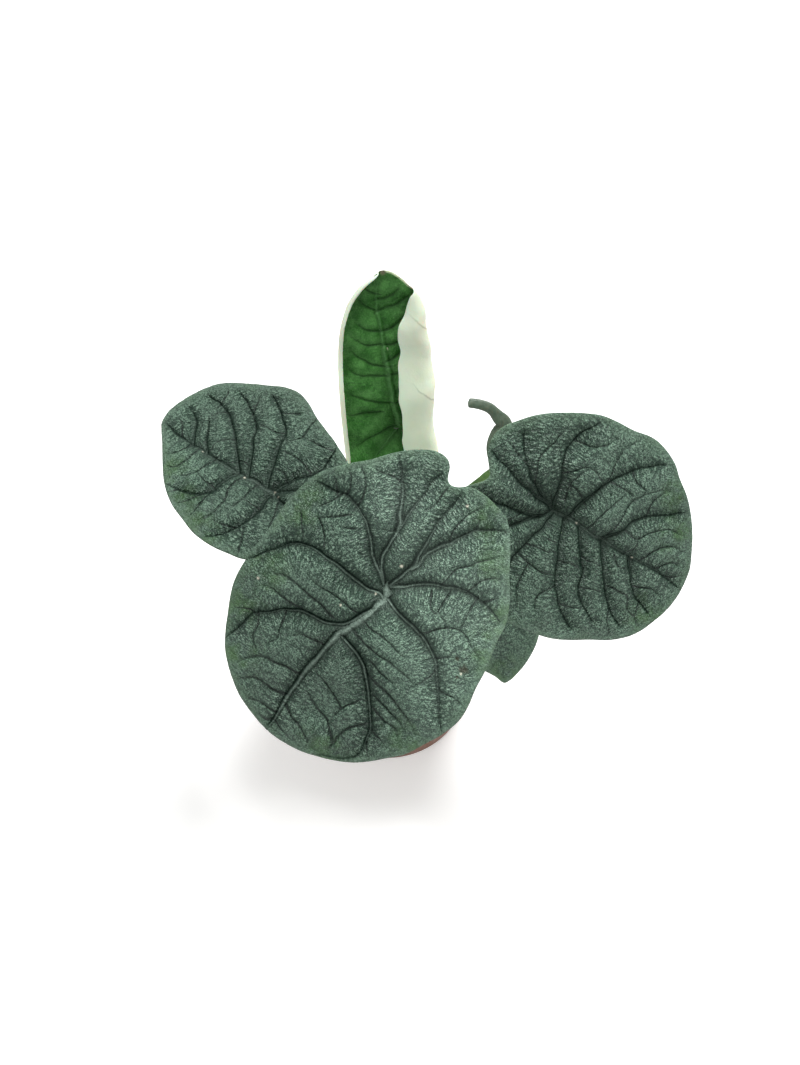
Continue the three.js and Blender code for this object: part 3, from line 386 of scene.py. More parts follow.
# The newest leaf still has both margins rolled forward. Its outline is the blade laid flat; then
# each side stays flat to the roll and turns round it.
YOUNG = {
    "name": "blade_young",
    "cords": 0.8,
    "tone_and_painted_light": 1.0,
    "seed": 5,
    "grid": 212,
    "attachment": (5.8, 30.1, 163.5),
    "tip_way": (-0.07, 0.257, 0.964),
    "facing": (0.043, -0.965, 0.26),
    "arch": {"tip": 0.0004, "back": -0.007, "side": 0.0},
    "cup": (2.5, 10.0),
    "centre": (14, 0),
    "waves": (4, 1.0),
    "outline": [
        (71.4, 0.2), (71.2, 3), (70.2, 6), (68.6, 9.3), (65.6, 13.1), (60.2, 17.8), (50, 22.5),
        (40, 24.8), (20, 26.8), (0, 27), (-14, 26.2), (-26, 20), (-33, 10), (-31, 0), (-33, -10),
        (-26, -23), (-14, -33.4), (-3, -34), (1, -32.5), (5, -31.6), (9, -32), (13, -33),
        (19, -35.2), (24, -35.7), (29, -34.4), (37, -32.7), (44.3, -31), (51.5, -28.2), (56, -24.9),
        (60.3, -19.4), (63, -13.2), (64.8, -9.2), (67.2, -7.1), (69.4, -4.6), (70.9, -2.1),
    ],
    "main_veins": [
        [(0, -1.3), (11, -0.1), (21.6, 1.2), (29.5, 2), (38.6, 2.5), (47.6, 3), (54.9, 3.5),
         (64, 3.6), (70, 1)],
        [(0, -1.3), (-6, 4), (-16, 13), (-26, 16)],
        [(0, -1.3), (-6, -6), (-16, -13), (-26, -16)],
    ],
    "side_veins": [
        [(61.8, 3.6), (63, 6.5), (65.3, 8.6)],
        [(54.9, 3.5), (56.3, 7), (59.1, 9.8), (61.7, 11.4)],
        [(45.3, 2.9), (46.2, 7.2), (48, 10.8), (50.8, 13.4)],
        [(39.6, 2.5), (40.1, 7.8), (41.2, 12.1), (44.5, 16)],
        [(29.8, 2), (31.5, 7.8), (34.3, 12.4), (39, 17.5)],
        [(25.3, 1.6), (26.1, 9.7), (27.2, 14.5), (31, 19)],
        [(12, 0), (13.6, 8.6), (15.7, 14.1), (19, 20)],
        [(8.2, 6.9), (8.8, 13.3), (8.1, 18.4), (9, 22)],
        [(0.6, 0.3), (-2.8, 7.8), (-5.4, 15.3), (-7.5, 20)],
        [(59.3, 3.6), (59.7, 0.7), (61.5, -3.4), (64.8, -6)],
        [(54.7, 3.5), (55.4, 0.4), (56.5, -3.7), (58.7, -6.6), (62, -12)],
        [(45.4, 2.9), (46.2, -0.3), (48.1, -3.8), (51, -6.5), (56, -14)],
        [(39.4, 2.5), (39.5, -1.1), (40.2, -3.8), (43, -9), (46, -15), (57, -26)],
        [(32.2, 2.1), (33.8, -1.4), (35, -3.4), (38, -12)],
        [(25.6, 1.6), (26.1, -1.5), (26.6, -2.8), (30, -14)],
        [(11.9, 0), (12.1, -1.2), (12.6, -2.7), (13, -15), (20, -24), (27, -31)],
        [(2, -1), (-4.1, -6), (-8, -20)],
    ],
    # Spots of painted shade, each u, v, size and gain: along the fold of the wide roll and near the
    # tip.
    "painted_light_and_shade": [
        *[(u, -13, 7, -0.12) for u in (46, 31, 16, 1)],
        (62, -16, 18, -0.3), (66, 14, 9, -0.2),
    ],
    "specks": [(37.5, 1.2, 0.3)],
    "scars": [(70.8, 0.5, 1.3)],
    "rolls": {
        1: {
            "fold": [
                (-40, 20.6), (20, 20.5), (40, 18.9), (50, 17), (60, 13.8), (64, 11),
                (67, 7.9), (69.4, 4.4), (70.8, 2), (72, 0),
            ],
            "radius": 2.0,
            "turn": 2.4,
        },
        -1: {
            "fold": [
                (-40, 11.8), (-6, 11.8), (0, 11), (6, 10.6), (12, 11.2), (17.5, 11.8), (23, 12.5),
                (28, 12.1), (34, 11.5), (40, 11.6), (45, 10.6), (50, 10.1), (55, 11.2), (60, 10.8),
                (63, 9.3), (66, 7.2), (72, 4.5),
            ],
            "radius": 4.1,
            "turn": 3.2,
        },
    },
}

LEAVES = (FRONT, LEFT, RIGHT, LOW, YOUNG)

# Relief of a blade. Along a vein the blade sinks by hollow, over reach to either side of the vein's
# cord. A cord is a low ridge. Its width and height shrink from the first value to the last.
RELIEF = {
    "main_veins": {"hollow": 4.0, "reach": 3.0, "end": 0.42, "crease": 0},
    "side_veins": {"hollow": 1.2, "reach": 1.8, "end": 0.4, "crease": 0.3},
}
YOUNG_RELIEF = {
    "main_veins": {"hollow": 1.5, "reach": 3.2, "end": 0.5, "crease": 0},
    "side_veins": {"hollow": 1.3, "reach": 2.4, "end": 0.4, "crease": 0.3},
}
MIDRIB_CORD = {"width": (1.5, 0.45), "height": (1.5, 0.3)}
LATERAL_CORD = {"width": (0.6, 0.4), "height": (0.6, 0.1)}
VEIN_STEP = 1.5
VEIN_WOBBLE = {"height": 0.32, "pitch": 4.5}
CREASE_WIDTH = 0.5
LINE_FADES = (0.3, 1.2)
# Half widths of the painted veins: from foot to tip, and alike all along.
MIDRIB_LINE = (1.3, 0.26)
LATERAL_LINE = (0.36, 0.18)
BRANCH_LINE = 0.5
SIDE_LINE = 0.3
# The way in the blade's plane from which the light comes: the sides of the veins that face it are
# the brighter ones.
LIGHT = (-0.8, -0.6)
# The quilting is lower close to the margin, and the rolls of the young leaf smooth it.
SHELTER = {"least": 0.35, "from": 0.5, "to": 7}
SWELL = {"height": 0.5, "pitch": 9}
SMOOTH_ROLL = {"share": 0.75, "from": -3, "to": 1}
# The skin is roughest a little beside the veins, towards the back of the leaf and at the margin.
ROUGH = {"least": 0.4, "beside": 0.7, "depth": 1.6, "spread": 1.1, "most": 1.3}
ROUGH_BACK = {"add": 0.3, "from": -12, "to": 8}
ROUGH_MARGIN = {"add": 0.25, "reach": 6}
ROLL_TIGHTENS = {"from": 48, "to": 66, "by": 0.6}
MARGIN_WAVE = 0.9
BLADE_THICKNESS = 1.0
LEAST_THICKNESS = 0.45
MARGIN_THICKNESS = 0.55
MARGIN_TAPER = 9
MARGIN_ROUNDING = {"drop": 0.25, "reach": 0.5}
UNDER_HOLLOW = 0.8
UNDER_RIB = {"share": 0.9, "taper": 5}
SPECK_HEIGHT = 0.2
SCAR = {"depth": 0.3, "ragged": 0.35}
GREEN_RAGGED = 0.3
TONE_DRIFT = {"share": 0.06, "pitch": 14}
HOLLOW_FULL = 3.9
EDGE = {"from": 0.3, "reach": 3.2}
BAND = (2.7, 1.5)
PALE_RIM = {"outer": 0.5, "inner": 0.9, "from": 58, "to": 64}
MARGIN_GROOVE = {"inside": 2.2, "width": 0.5, "depth": 0.15}
# The fine net's cells have their middles between these shares of a square of one pitch.
CELL = {"pitch": 5.5, "depth": 0.12, "middles": (0.1, 0.9), "warp": 1.3, "warp_pitch": 6}
CELL_CREASE = 1.1
# The wrinkles are drawn on a raster of small squares with a border all round.
WRINKLE = {"pitch": 1.5, "long": 1.6, "short": 0.8, "height": 0.08, "spacing": 1.2}
WRINKLE_LEANS = {"by": 0.35, "spread": 0.3}
RASTER = {"square": 0.4, "border": 6, "reach": 2.4}
GRAIN = {"slant": 0.25, "stretch": 0.42, "past_tip": 15, "apart": 7, "sure": (0.3, 2.5)}

# What the blades' materials read from the mesh, in the order in which it is added.
MASKS = ("hollow", "rough", "sure", "tone_and_painted_light", "cord", "bright", "green", "crease", "painted_ditch_shade", "edge",
         "band", "rim", "speck", "scar", "net")
VECTOR_MASKS = ("flat", "way", "main", "side")


# ---- curves and fields ----

def smoothstep(x, low, high):
    """0 below low, 1 above high and smooth between them; low may be the larger."""
    t = np.clip((np.asarray(x, float) - low) / (high - low), 0, 1)
    return t * t * (3 - 2 * t)


def spline(points, step, closed=False):
    """Points about every step along a centripetal Catmull-Rom curve through the given points."""
    knots = np.array(points, float)
    if closed:
        knots = np.vstack([knots[-1], knots, knots[0], knots[1]])
    else:
        knots = np.vstack([2 * knots[0] - knots[1], knots, 2 * knots[-1] - knots[-2]])
    pieces = []
    for p0, p1, p2, p3 in zip(knots, knots[1:], knots[2:], knots[3:]):
        t1 = np.linalg.norm(p1 - p0) ** 0.5
        t2 = t1 + np.linalg.norm(p2 - p1) ** 0.5
        t3 = t2 + np.linalg.norm(p3 - p2) ** 0.5
        count = max(2, int(math.ceil(np.linalg.norm(p2 - p1) / step)))
        t = np.linspace(t1, t2, count, endpoint=False)[:, None]
        a1 = (t1 - t) / t1 * p0 + t / t1 * p1
        a2 = (t2 - t) / (t2 - t1) * p1 + (t - t1) / (t2 - t1) * p2
        a3 = (t3 - t) / (t3 - t2) * p2 + (t - t2) / (t3 - t2) * p3
        b1 = (t2 - t) / t2 * a1 + t / t2 * a2
        b2 = (t3 - t) / (t3 - t1) * a2 + (t - t1) / (t3 - t1) * a3
        pieces.append((t2 - t) / (t2 - t1) * b1 + (t - t1) / (t2 - t1) * b2)
    if not closed:
        pieces.append(knots[-2][None])
    return np.vstack(pieces)


def near_line(line, u, v):
    """Distance of each point from a polyline, how far along it (0 to 1) the nearest place is, the
    side that the point is on, 1 or -1, and how far that side lies towards the light."""
    lengths = np.concatenate([[0], np.cumsum(np.linalg.norm(np.diff(line, axis=0), axis=1))])
    best = np.full(u.shape, 1e6)
    along = np.zeros(u.shape)
    side = np.ones(u.shape)
    lit = np.zeros(u.shape)
    for k in range(len(line) - 1):
        du, dv = line[k + 1] - line[k]
        square = du * du + dv * dv
        t = np.clip(((u - line[k, 0]) * du + (v - line[k, 1]) * dv) / square, 0, 1)
        away = (u - line[k, 0] - t * du) ** 2 + (v - line[k, 1] - t * dv) ** 2
        closer = away < best
        best = np.where(closer, away, best)
        place = (lengths[k] + t * math.sqrt(square)) / lengths[-1]
        along = np.where(closer, place, along)
        turn = du * (v - line[k, 1]) - dv * (u - line[k, 0])
        side = np.where(closer, np.where(turn < 0, -1, 1), side)
        lit = np.where(closer, side * (du * LIGHT[1] - dv * LIGHT[0]) / math.sqrt(square), lit)
    return np.sqrt(best), along, side, lit


def vein_field(veins, u, v, hollow, reach, end, crease, cords=None, strength=1, strong=0):
    """Along some veins: how deep the blade sinks, how high the cords stand, and for the material
    the signed distance of the nearest vein, the plain distance, its line's width, its strength,
    and how far the place lies on its bright side. The first veins, as many as strong, are wide."""
    deep = np.zeros(u.shape)
    cord = np.zeros(u.shape)
    dark = np.zeros(u.shape)
    nearest = np.full(u.shape, 1e6)
    signed = np.full(u.shape, 1e6)
    line = np.zeros(u.shape)
    power = np.zeros(u.shape)
    bright = np.zeros(u.shape)
    for k, vein in enumerate(veins):
        away, along, side, lit = near_line(spline(vein, VEIN_STEP), u, v)
        fade = 1 - (1 - end) * along
        closer = away < nearest
        nearest = np.where(closer, away, nearest)
        signed = np.where(closer, side * away, signed)
        bright = np.where(closer, lit, bright)
        width = 0
        if cords:
            shape, (first, last) = (cords[0], MIDRIB_LINE) if k == 0 else (cords[1], LATERAL_LINE)
            width = shape["width"][0] + (shape["width"][1] - shape["width"][0]) * along
            height = shape["height"][0] + (shape["height"][1] - shape["height"][0]) * along
            cord = np.maximum(cord, strength * height * np.exp(-((away / width) ** 2)))
            line = np.where(closer, first + (last - first) * along, line)
            power = np.where(closer, strength * (1 - along) ** LINE_FADES[k > 0], power)
        else:
            dark = np.maximum(dark, fade * np.exp(-((away / CREASE_WIDTH) ** 2)))
            line = np.where(closer, BRANCH_LINE if k < strong else SIDE_LINE, line)
            power = np.where(closer, fade * smoothstep(1 - along, 0, 0.2), power)
        deep += (hollow * fade * np.exp(-np.maximum(away - strength * width, 0) / reach)) ** 4
    return {
        "deep": deep ** 0.25 + crease * dark,
        "cord": cord,
        "away": nearest,
        "lines": np.stack([signed, nearest, line], -1),
        "power": power,
        "bright": bright,
    }


def between(table, i, j, fx, fy):
    """The table's values between its entries, fx and fy of the way on from i and j."""
    low = table[i, j] * (1 - fy) + table[i, j + 1] * fy
    high = table[i + 1, j] * (1 - fy) + table[i + 1, j + 1] * fy
    return low * (1 - fx) + high * fx


def blur_noise(seed, pitch, u, v):
    """Smooth noise of about unit height with features about one pitch across."""
    size = 160
    table = np.random.default_rng(seed).standard_normal((size, size))
    x = u / pitch + 50
    y = v / pitch + 50
    i, j = np.floor(x).astype(int), np.floor(y).astype(int)
    fx, fy = smoothstep(x - i, 0, 1), smoothstep(y - j, 0, 1)
    return between(table, i % (size - 1), j % (size - 1), fx, fy)


def cell_field(seed, u, v):
    """Depth of the fine net: creases between cells about one pitch across."""
    pitch = CELL["pitch"]
    lows = np.array([u.min(), v.min()]) - 2 * pitch
    highs = np.array([u.max(), v.max()]) + 2 * pitch
    counts = np.ceil((highs - lows) / pitch).astype(int)
    middles = np.random.default_rng(seed).uniform(*CELL["middles"], (counts[0], counts[1], 2))
    warp_u = u + CELL["warp"] * blur_noise(seed + 7, CELL["warp_pitch"], u, v)
    warp_v = v + CELL["warp"] * blur_noise(seed + 8, CELL["warp_pitch"], u, v)
    i = np.floor((warp_u - lows[0]) / pitch).astype(int)
    j = np.floor((warp_v - lows[1]) / pitch).astype(int)
    first = np.full(u.shape, 1e6)
    second = np.full(u.shape, 1e6)
    for di in (-1, 0, 1):
        for dj in (-1, 0, 1):
            ci = np.clip(i + di, 0, counts[0] - 1)
            cj = np.clip(j + dj, 0, counts[1] - 1)
            cu = lows[0] + (i + di + middles[ci, cj, 0]) * pitch
            cv = lows[1] + (j + dj + middles[ci, cj, 1]) * pitch
            away = np.hypot(warp_u - cu, warp_v - cv)
            second = np.minimum(second, np.maximum(first, away))
            first = np.minimum(first, away)
    return np.exp(-((second - first) / CELL_CREASE) ** 2)


def wrinkle_field(leaf, u, v):
    """Short wrinkles of one pitch that run across the main veins, drawn as seeded wave packets."""
    rng = np.random.default_rng(SEED + leaf["seed"])
    square, border = RASTER["square"], RASTER["border"]
    low_u, low_v = u.min() - border, v.min() - border
    lows = (low_u, low_v)
    size = [int((axis.max() + border - low) / square) + 2 for axis, low in zip((u, v), lows)]
    raster = np.zeros(size)
    count = int(size[0] * size[1] * square * square / WRINKLE["spacing"] ** 2)
    keep = border - 1
    places = np.column_stack([
        rng.uniform(low + keep, low + (side - 2) * square - keep, count)
        for low, side in zip(lows, size)
    ])
    ways = vein_way(leaf, places) + rng.normal(0, WRINKLE_LEANS["spread"], count)
    slant = np.where(rng.random(count) < 0.5, WRINKLE_LEANS["by"], -WRINKLE_LEANS["by"])
    phases = rng.uniform(0, 2 * math.pi, count)
    heights = rng.uniform(0.4, 1, count)
    reach = int(RASTER["reach"] * WRINKLE["long"] / square)
    steps = np.arange(-reach, reach + 1)
    for (pu, pv), way, lean, phase, height in zip(places, ways, slant, phases, heights):
        ci, cj = int((pu - low_u) / square), int((pv - low_v) / square)
        i0, i1 = max(ci - reach, 0), min(ci + reach + 1, size[0])
        j0, j1 = max(cj - reach, 0), min(cj + reach + 1, size[1])
        du = (steps[i0 - ci + reach:i1 - ci + reach] * square)[:, None]
        dv = (steps[j0 - cj + reach:j1 - cj + reach] * square)[None, :]
        across, along = math.cos(way + lean), math.sin(way + lean)
        a = du * across + dv * along
        b = -du * along + dv * across
        packet = np.exp(-(a / WRINKLE["short"]) ** 2 / 2 - (b / WRINKLE["long"]) ** 2 / 2)
        raster[i0:i1, j0:j1] += height * packet * np.cos(2 * math.pi * a / WRINKLE["pitch"] + phase)
    raster /= raster.std()
    x, y = (u - low_u) / square, (v - low_v) / square
    i, j = np.floor(x).astype(int), np.floor(y).astype(int)
    return between(raster, i, j, x - i, y - j)


def grain_way(leaf, u, v):
    """Coordinates for a grain square to the nearest main vein, and how sure that vein is."""
    first = np.full(u.shape, 1e6)
    second = np.full(u.shape, 1e6)
    place = np.zeros(u.shape)
    index = np.zeros(u.shape)
    for k, vein in enumerate(leaf["main_veins"]):
        line = spline(vein, VEIN_STEP)
        last = line[-1] - line[-2]
        line = np.vstack([line, line[-1] + GRAIN["past_tip"] * last / np.linalg.norm(last)])
        away, along, _, _ = near_line(line, u, v)
        length = np.linalg.norm(np.diff(line, axis=0), axis=1).sum()
        closer = away < first
        second = np.where(closer, first, np.minimum(second, away))
        first = np.where(closer, away, first)
        place = np.where(closer, along * length, place)
        index = np.where(closer, k, index)
    way = [place + GRAIN["slant"] * first, GRAIN["stretch"] * first, GRAIN["apart"] * index]
    return np.stack(way, -1), smoothstep(second - first, *GRAIN["sure"])


def vein_way(leaf, places):
    """The direction, as an angle, of the nearest main vein to each place."""
    best = np.full(len(places), 1e6)
    way = np.zeros(len(places))
    for vein in leaf["main_veins"]:
        line = spline(vein, 4.0)
        for start, end in zip(line, line[1:]):
            away = np.linalg.norm(places - (start + end) / 2, axis=1)
            closer = away < best
            best = np.where(closer, away, best)
            way = np.where(closer, math.atan2(end[1] - start[1], end[0] - start[0]), way)
    return way


# ---- blades ----

def disc_grid(n):
    """The square grid of n by n cells mapped to the unit disc, ring by ring."""
    a, b = np.meshgrid(np.linspace(-1, 1, n + 1), np.linspace(-1, 1, n + 1), indexing="ij")
    wide = np.abs(a) > np.abs(b)
    radius = np.where(wide, a, b)
    safe_a, safe_b = np.where(a == 0, 1, a), np.where(b == 0, 1, b)
    angle = np.where(wide, math.pi / 4 * b / safe_a, math.pi / 2 - math.pi / 4 * a / safe_b)
    centre = (a == 0) & (b == 0)
    return np.where(centre, 0, radius * np.cos(angle)), np.where(centre, 0, radius * np.sin(angle))


def blade_plane(leaf, n):
    """The blade's grid: u, v, the distance inside the margin, the share of the way from the centre
    to the margin, and the angle about the centre."""
    x, y = disc_grid(n)
    centre = np.array(leaf["centre"], float)
    rim = spline(leaf["outline"], 0.5, closed=True) - centre
    angles = np.arctan2(rim[:, 1], rim[:, 0])
    order = np.argsort(angles)
    radii = np.hypot(rim[:, 0], rim[:, 1])[order]
    angle = np.arctan2(y, x)
    reach = np.interp(angle, angles[order], radii, period=2 * math.pi)
    fraction = np.hypot(x, y)
    return centre[0] + x * reach, centre[1] + y * reach, (1 - fraction) * reach, fraction, angle


def blade_fields(leaf, u, v, inside, fraction, angle):
    """Heights of the blade's faces over its plane, and the masks that its material reads."""
    relief = YOUNG_RELIEF if "rolls" in leaf else RELIEF
    quilting = leaf.get("quilting", 1)
    arch = np.where(u > 0, leaf["arch"]["tip"], leaf["arch"]["back"])
    fall = arch * u * u + leaf["arch"]["side"] * v * v
    cup = leaf["cup"][0] * np.exp(-(u * u + v * v) / leaf["cup"][1] ** 2)
    count, turn = leaf["waves"]
    wave = MARGIN_WAVE * fraction ** 4 * np.sin(count * angle + turn)
    cords = (MIDRIB_CORD, LATERAL_CORD)
    wobble, pitch = VEIN_WOBBLE["height"], VEIN_WOBBLE["pitch"]
    bent_u = u + wobble * blur_noise(leaf["seed"] + 21, pitch, u, v)
    bent_v = v + wobble * blur_noise(leaf["seed"] + 22, pitch, u, v)
    main = vein_field(leaf["main_veins"], bent_u, bent_v, **relief["main_veins"], cords=cords,
                      strength=leaf["cords"])
    branches = leaf.get("branch_veins", [])
    side = vein_field(branches + leaf["side_veins"], bent_u, bent_v, **relief["side_veins"],
                      strong=len(branches))
    least = SHELTER["least"]
    shelter = least + (1 - least) * smoothstep(inside, SHELTER["from"], SHELTER["to"])
    hollow = (main["deep"] ** 3 + side["deep"] ** 3) ** (1 / 3) * shelter * quilting
    swell = SWELL["height"] * blur_noise(leaf["seed"], SWELL["pitch"], u, v) * shelter * quilting
    lift = wave - fall - cup + swell
    if "rolls" in leaf:
        for flank in leaf["rolls"]:
            past = v * flank - roll_at(leaf, flank, u)[0]
            smooth = smoothstep(past, SMOOTH_ROLL["from"], SMOOTH_ROLL["to"])
            hollow = hollow * (1 - SMOOTH_ROLL["share"] * smooth)
    bare = smoothstep(main["away"], 0.5, 1.6)
    net = cell_field(SEED + 20 + leaf["seed"], u, v) * bare
    beside = np.exp(-((main["deep"] - ROUGH["depth"]) / ROUGH["spread"]) ** 2)
    rough = ROUGH["least"] + ROUGH["beside"] * beside
    rough = rough + ROUGH_BACK["add"] * smoothstep(-u, ROUGH_BACK["from"], ROUGH_BACK["to"])
    rough = rough + ROUGH_MARGIN["add"] * np.exp(-inside / ROUGH_MARGIN["reach"])
    rough = rough * leaf.get("roughness", 1)
    way, sure = grain_way(leaf, u, v)
    fine = WRINKLE["height"] * wrinkle_field(leaf, u, v) * rough * shelter - CELL["depth"] * net
    rim = np.exp(-(((inside - MARGIN_GROOVE["inside"]) / MARGIN_GROOVE["width"]) ** 2))
    groove = 0 if "rolls" in leaf else MARGIN_GROOVE["depth"]
    top = main["cord"] * quilting - hollow + fine * bare - groove * rim
    marks = spots(leaf["specks"], u, v, 0, leaf["seed"])
    scars = spots(leaf["scars"], u, v, SCAR["ragged"], leaf["seed"] + 40)
    grown = smoothstep(inside, 0, MARGIN_TAPER)
    thickness = MARGIN_THICKNESS + (BLADE_THICKNESS - MARGIN_THICKNESS) * grown
    rib = UNDER_RIB["share"] * main["cord"] * smoothstep(inside, 0, UNDER_RIB["taper"])
    under = -UNDER_HOLLOW * hollow - thickness - rib
    rim_place = smoothstep(u, PALE_RIM["from"], PALE_RIM["to"]) * (v < 0)
    return {
        "lift": lift,
        "top": top + SPECK_HEIGHT * marks - SCAR["depth"] * scars,
        "under": np.minimum(under, top - LEAST_THICKNESS),
        "hollow": np.clip(hollow / HOLLOW_FULL, 0, 1),
        "rough": np.clip(rough, 0, ROUGH["most"]) * shelter,
        "sure": sure,
        "way": way,
        "tone_and_painted_light": light_and_tone_field(leaf, u, v),
        "main": main["lines"],
        "side": side["lines"],
        "cord": main["power"],
        "bright": main["bright"],
        "green": spots(leaf.get("greens", ()), u, v, GREEN_RAGGED, leaf["seed"] + 60),
        "crease": side["power"] * leaf.get("creases", 1),
        "painted_ditch_shade": np.full(u.shape, leaf.get("creases", 1.0)),
        "edge": np.exp(-np.maximum(inside - EDGE["from"], 0) / EDGE["reach"]),
        "band": smoothstep(inside, *BAND),
        "rim": smoothstep(inside, PALE_RIM["inner"], PALE_RIM["outer"]) * rim_place,
        "speck": marks,
        "scar": scars,
        "net": net,
    }


def light_and_tone_field(leaf, u, v):
    """How light the blade is from place to place: a slow drift, and the leaf's painted light and
    painted shade, all over and in spots.
    """
    drift = blur_noise(leaf["seed"] + 11, TONE_DRIFT["pitch"], u, v)
    tone_and_painted_light = leaf["tone_and_painted_light"] * (1 + TONE_DRIFT["share"] * drift)
    for place_u, place_v, size, gain in leaf.get("painted_light_and_shade", ()):
        tone_and_painted_light = tone_and_painted_light * (1 + gain * np.exp(-((u - place_u) ** 2 + (v - place_v) ** 2) / size ** 2))
    return tone_and_painted_light


def spots(places, u, v, ragged, seed):
    """A mask of small round spots with more or less ragged rims."""
    mask = np.zeros(u.shape)
    warp = np.clip(1 + ragged * blur_noise(seed, 1.2, u, v), 0.4, 2)
    for place_u, place_v, size in places:
        away = ((u - place_u) ** 2 + (v - place_v) ** 2) * warp / size ** 2
        mask = np.maximum(mask, np.exp(-(away ** 2)))
    return mask


def roll_at(leaf, side, u):
    """Where a side's flat part ends, and how tight its roll is, at u along the blade."""
    roll = leaf["rolls"][side]
    line = np.array(spline(roll["fold"], 0.5))
    flat = np.interp(u, line[:, 0], line[:, 1])
    tight = smoothstep(u, ROLL_TIGHTENS["from"], ROLL_TIGHTENS["to"])
    return flat, roll["radius"] * (1 - ROLL_TIGHTENS["by"] * tight)


def rolled(leaf, u, v, height):
    """Turns the points of a flat blade round the rolls of its sides: [across, up]."""
    across, up = v.copy(), height.copy()
    for side, roll in leaf["rolls"].items():
        flat, radius = roll_at(leaf, side, u)
        past = np.maximum(np.abs(v) - flat, 0)
        angle = np.minimum(past / radius, roll["turn"])
        straight = np.maximum(past - radius * roll["turn"], 0)
        outward = np.minimum(np.abs(v), flat) + radius * np.sin(angle) + straight * np.cos(angle)
        raised = radius * (1 - np.cos(angle)) + straight * np.sin(angle)
        mine = v * side > 0
        across = np.where(mine, side * (outward - height * np.sin(angle)), across)
        up = np.where(mine, raised + height * np.cos(angle), up)
    return across, up


def blade_axes(leaf):
    """The attachment point, and the ways of u, v and the height."""
    u = Vector(leaf["tip_way"]).normalized()
    v = Vector(leaf["facing"]).cross(u).normalized()
    return np.array(leaf["attachment"], float), np.array(u), np.array(v), np.array(u.cross(v))


def blade_points(leaf, u, v, relief, lift):
    """The blade's points in mm. A roll turns the relief, and lift moves the whole skin."""
    origin, axis_u, axis_v, axis_n = blade_axes(leaf)
    across, up = rolled(leaf, u, v, relief) if "rolls" in leaf else (v, relief)
    up = up + lift
    points = origin + u[..., None] * axis_u + across[..., None] * axis_v + up[..., None] * axis_n
    return points.reshape(-1, 3)


def grid_faces(n, offset, flip):
    """The squares of a grid of n by n cells whose points start at offset."""
    i, j = np.meshgrid(np.arange(n), np.arange(n), indexing="ij")
    p = offset + i * (n + 1) + j
    quads = np.stack([p, p + n + 1, p + n + 2, p + 1], -1).reshape(-1, 4)
    return quads[:, ::-1] if flip else quads


def grid_border(rows, columns, offset):
    """The points round the border of a grid with so many cells each way, in order."""
    at = lambda i, j: offset + i * (columns + 1) + j
    ring = [at(k, 0) for k in range(rows)] + [at(rows, k) for k in range(columns)]
    ring += [at(k, columns) for k in range(rows, 0, -1)]
    return ring + [at(0, k) for k in range(columns, 0, -1)]


def make_mesh(name, points, faces, slots=None):
    """A smooth mesh object from points in mm. faces is a list of arrays of corners."""
    mesh = bpy.data.meshes.new(name)
    mesh.vertices.add(len(points))
    mesh.vertices.foreach_set("co", (np.asarray(points) * MM).astype(np.float32).ravel())
    loops = np.concatenate([np.asarray(f).ravel() for f in faces])
    sizes = np.concatenate([np.full(len(f), np.asarray(f).shape[1]) for f in faces])
    starts = np.concatenate([[0], np.cumsum(sizes)[:-1]])
    mesh.loops.add(len(loops))
    mesh.loops.foreach_set("vertex_index", loops.astype(np.int32))
    mesh.polygons.add(len(sizes))
    mesh.polygons.foreach_set("loop_start", starts.astype(np.int32))
    mesh.polygons.foreach_set("use_smooth", np.ones(len(sizes), bool))
    if slots is not None:
        mesh.polygons.foreach_set("material_index", np.asarray(slots, np.int32))
    mesh.update(calc_edges=True)
    mesh.validate()
    piece = bpy.data.objects.new(name, mesh)
    bpy.context.scene.collection.objects.link(piece)
    return piece


def add_field(piece, name, values, vectors=False):
    """Gives every point of the mesh a value, or a vector, for the material to read."""
    layer = piece.data.attributes.new(name, "FLOAT_VECTOR" if vectors else "FLOAT", "POINT")
    layer.data.foreach_set("vector" if vectors else "value", np.asarray(values, np.float32).ravel())


def positions(piece):
    """The x, y and z of every point of the mesh, in metres."""
    co = np.empty(len(piece.data.vertices) * 3, np.float32)
    piece.data.vertices.foreach_get("co", co)
    return co.reshape(-1, 3)


def make_blade(leaf):
    """The upper face on a fine grid, the underside on one half as fine, and a rim between them."""
    fine, coarse = leaf["grid"], leaf["grid"] // 2
    u, v, inside, fraction, angle = blade_plane(leaf, fine)
    fields = blade_fields(leaf, u, v, inside, fraction, angle)
    rounding = MARGIN_ROUNDING["drop"] * np.exp(-inside / MARGIN_ROUNDING["reach"])
    relief = fields["top"] - rounding
    top_points = blade_points(leaf, u, v, relief, fields["lift"])
    half = (slice(None, None, 2), slice(None, None, 2))
    under_points = blade_points(leaf, u[half], v[half], fields["under"][half], fields["lift"][half])
    offset = len(top_points)
    upper, lower = grid_border(fine, fine, 0), grid_border(coarse, coarse, offset)
    rim = []
    for k, here in enumerate(lower):
        after = lower[(k + 1) % len(lower)]
        t0, t1, t2 = upper[2 * k], upper[2 * k + 1], upper[(2 * k + 2) % len(upper)]
        rim += [(t0, here, t1), (t1, here, after), (t1, after, t2)]
    top_faces = grid_faces(fine, 0, False)
    under_faces = grid_faces(coarse, offset, True)
    slots = np.concatenate([
        np.zeros(len(top_faces)), np.ones(len(under_faces)), np.ones(len(rim)),
    ])
    piece = make_mesh(leaf["name"] + "_skin", np.vstack([top_points, under_points]),
                      [top_faces, under_faces, np.array(rim)], slots)
    for name in MASKS:
        add_field(piece, name, np.concatenate([fields[name].ravel(), fields[name][half].ravel()]))
    fields["flat"] = np.stack([u, v, np.zeros_like(u)], -1)
    for name in VECTOR_MASKS:
        both = [fields[name].reshape(-1, 3), fields[name][half].reshape(-1, 3)]
        add_field(piece, name, np.concatenate(both), vectors=True)
    middle = np.argmin(u[half] ** 2 + v[half] ** 2)
    leaf["seat"] = under_points[middle]
    return piece


# ---- stalks ----

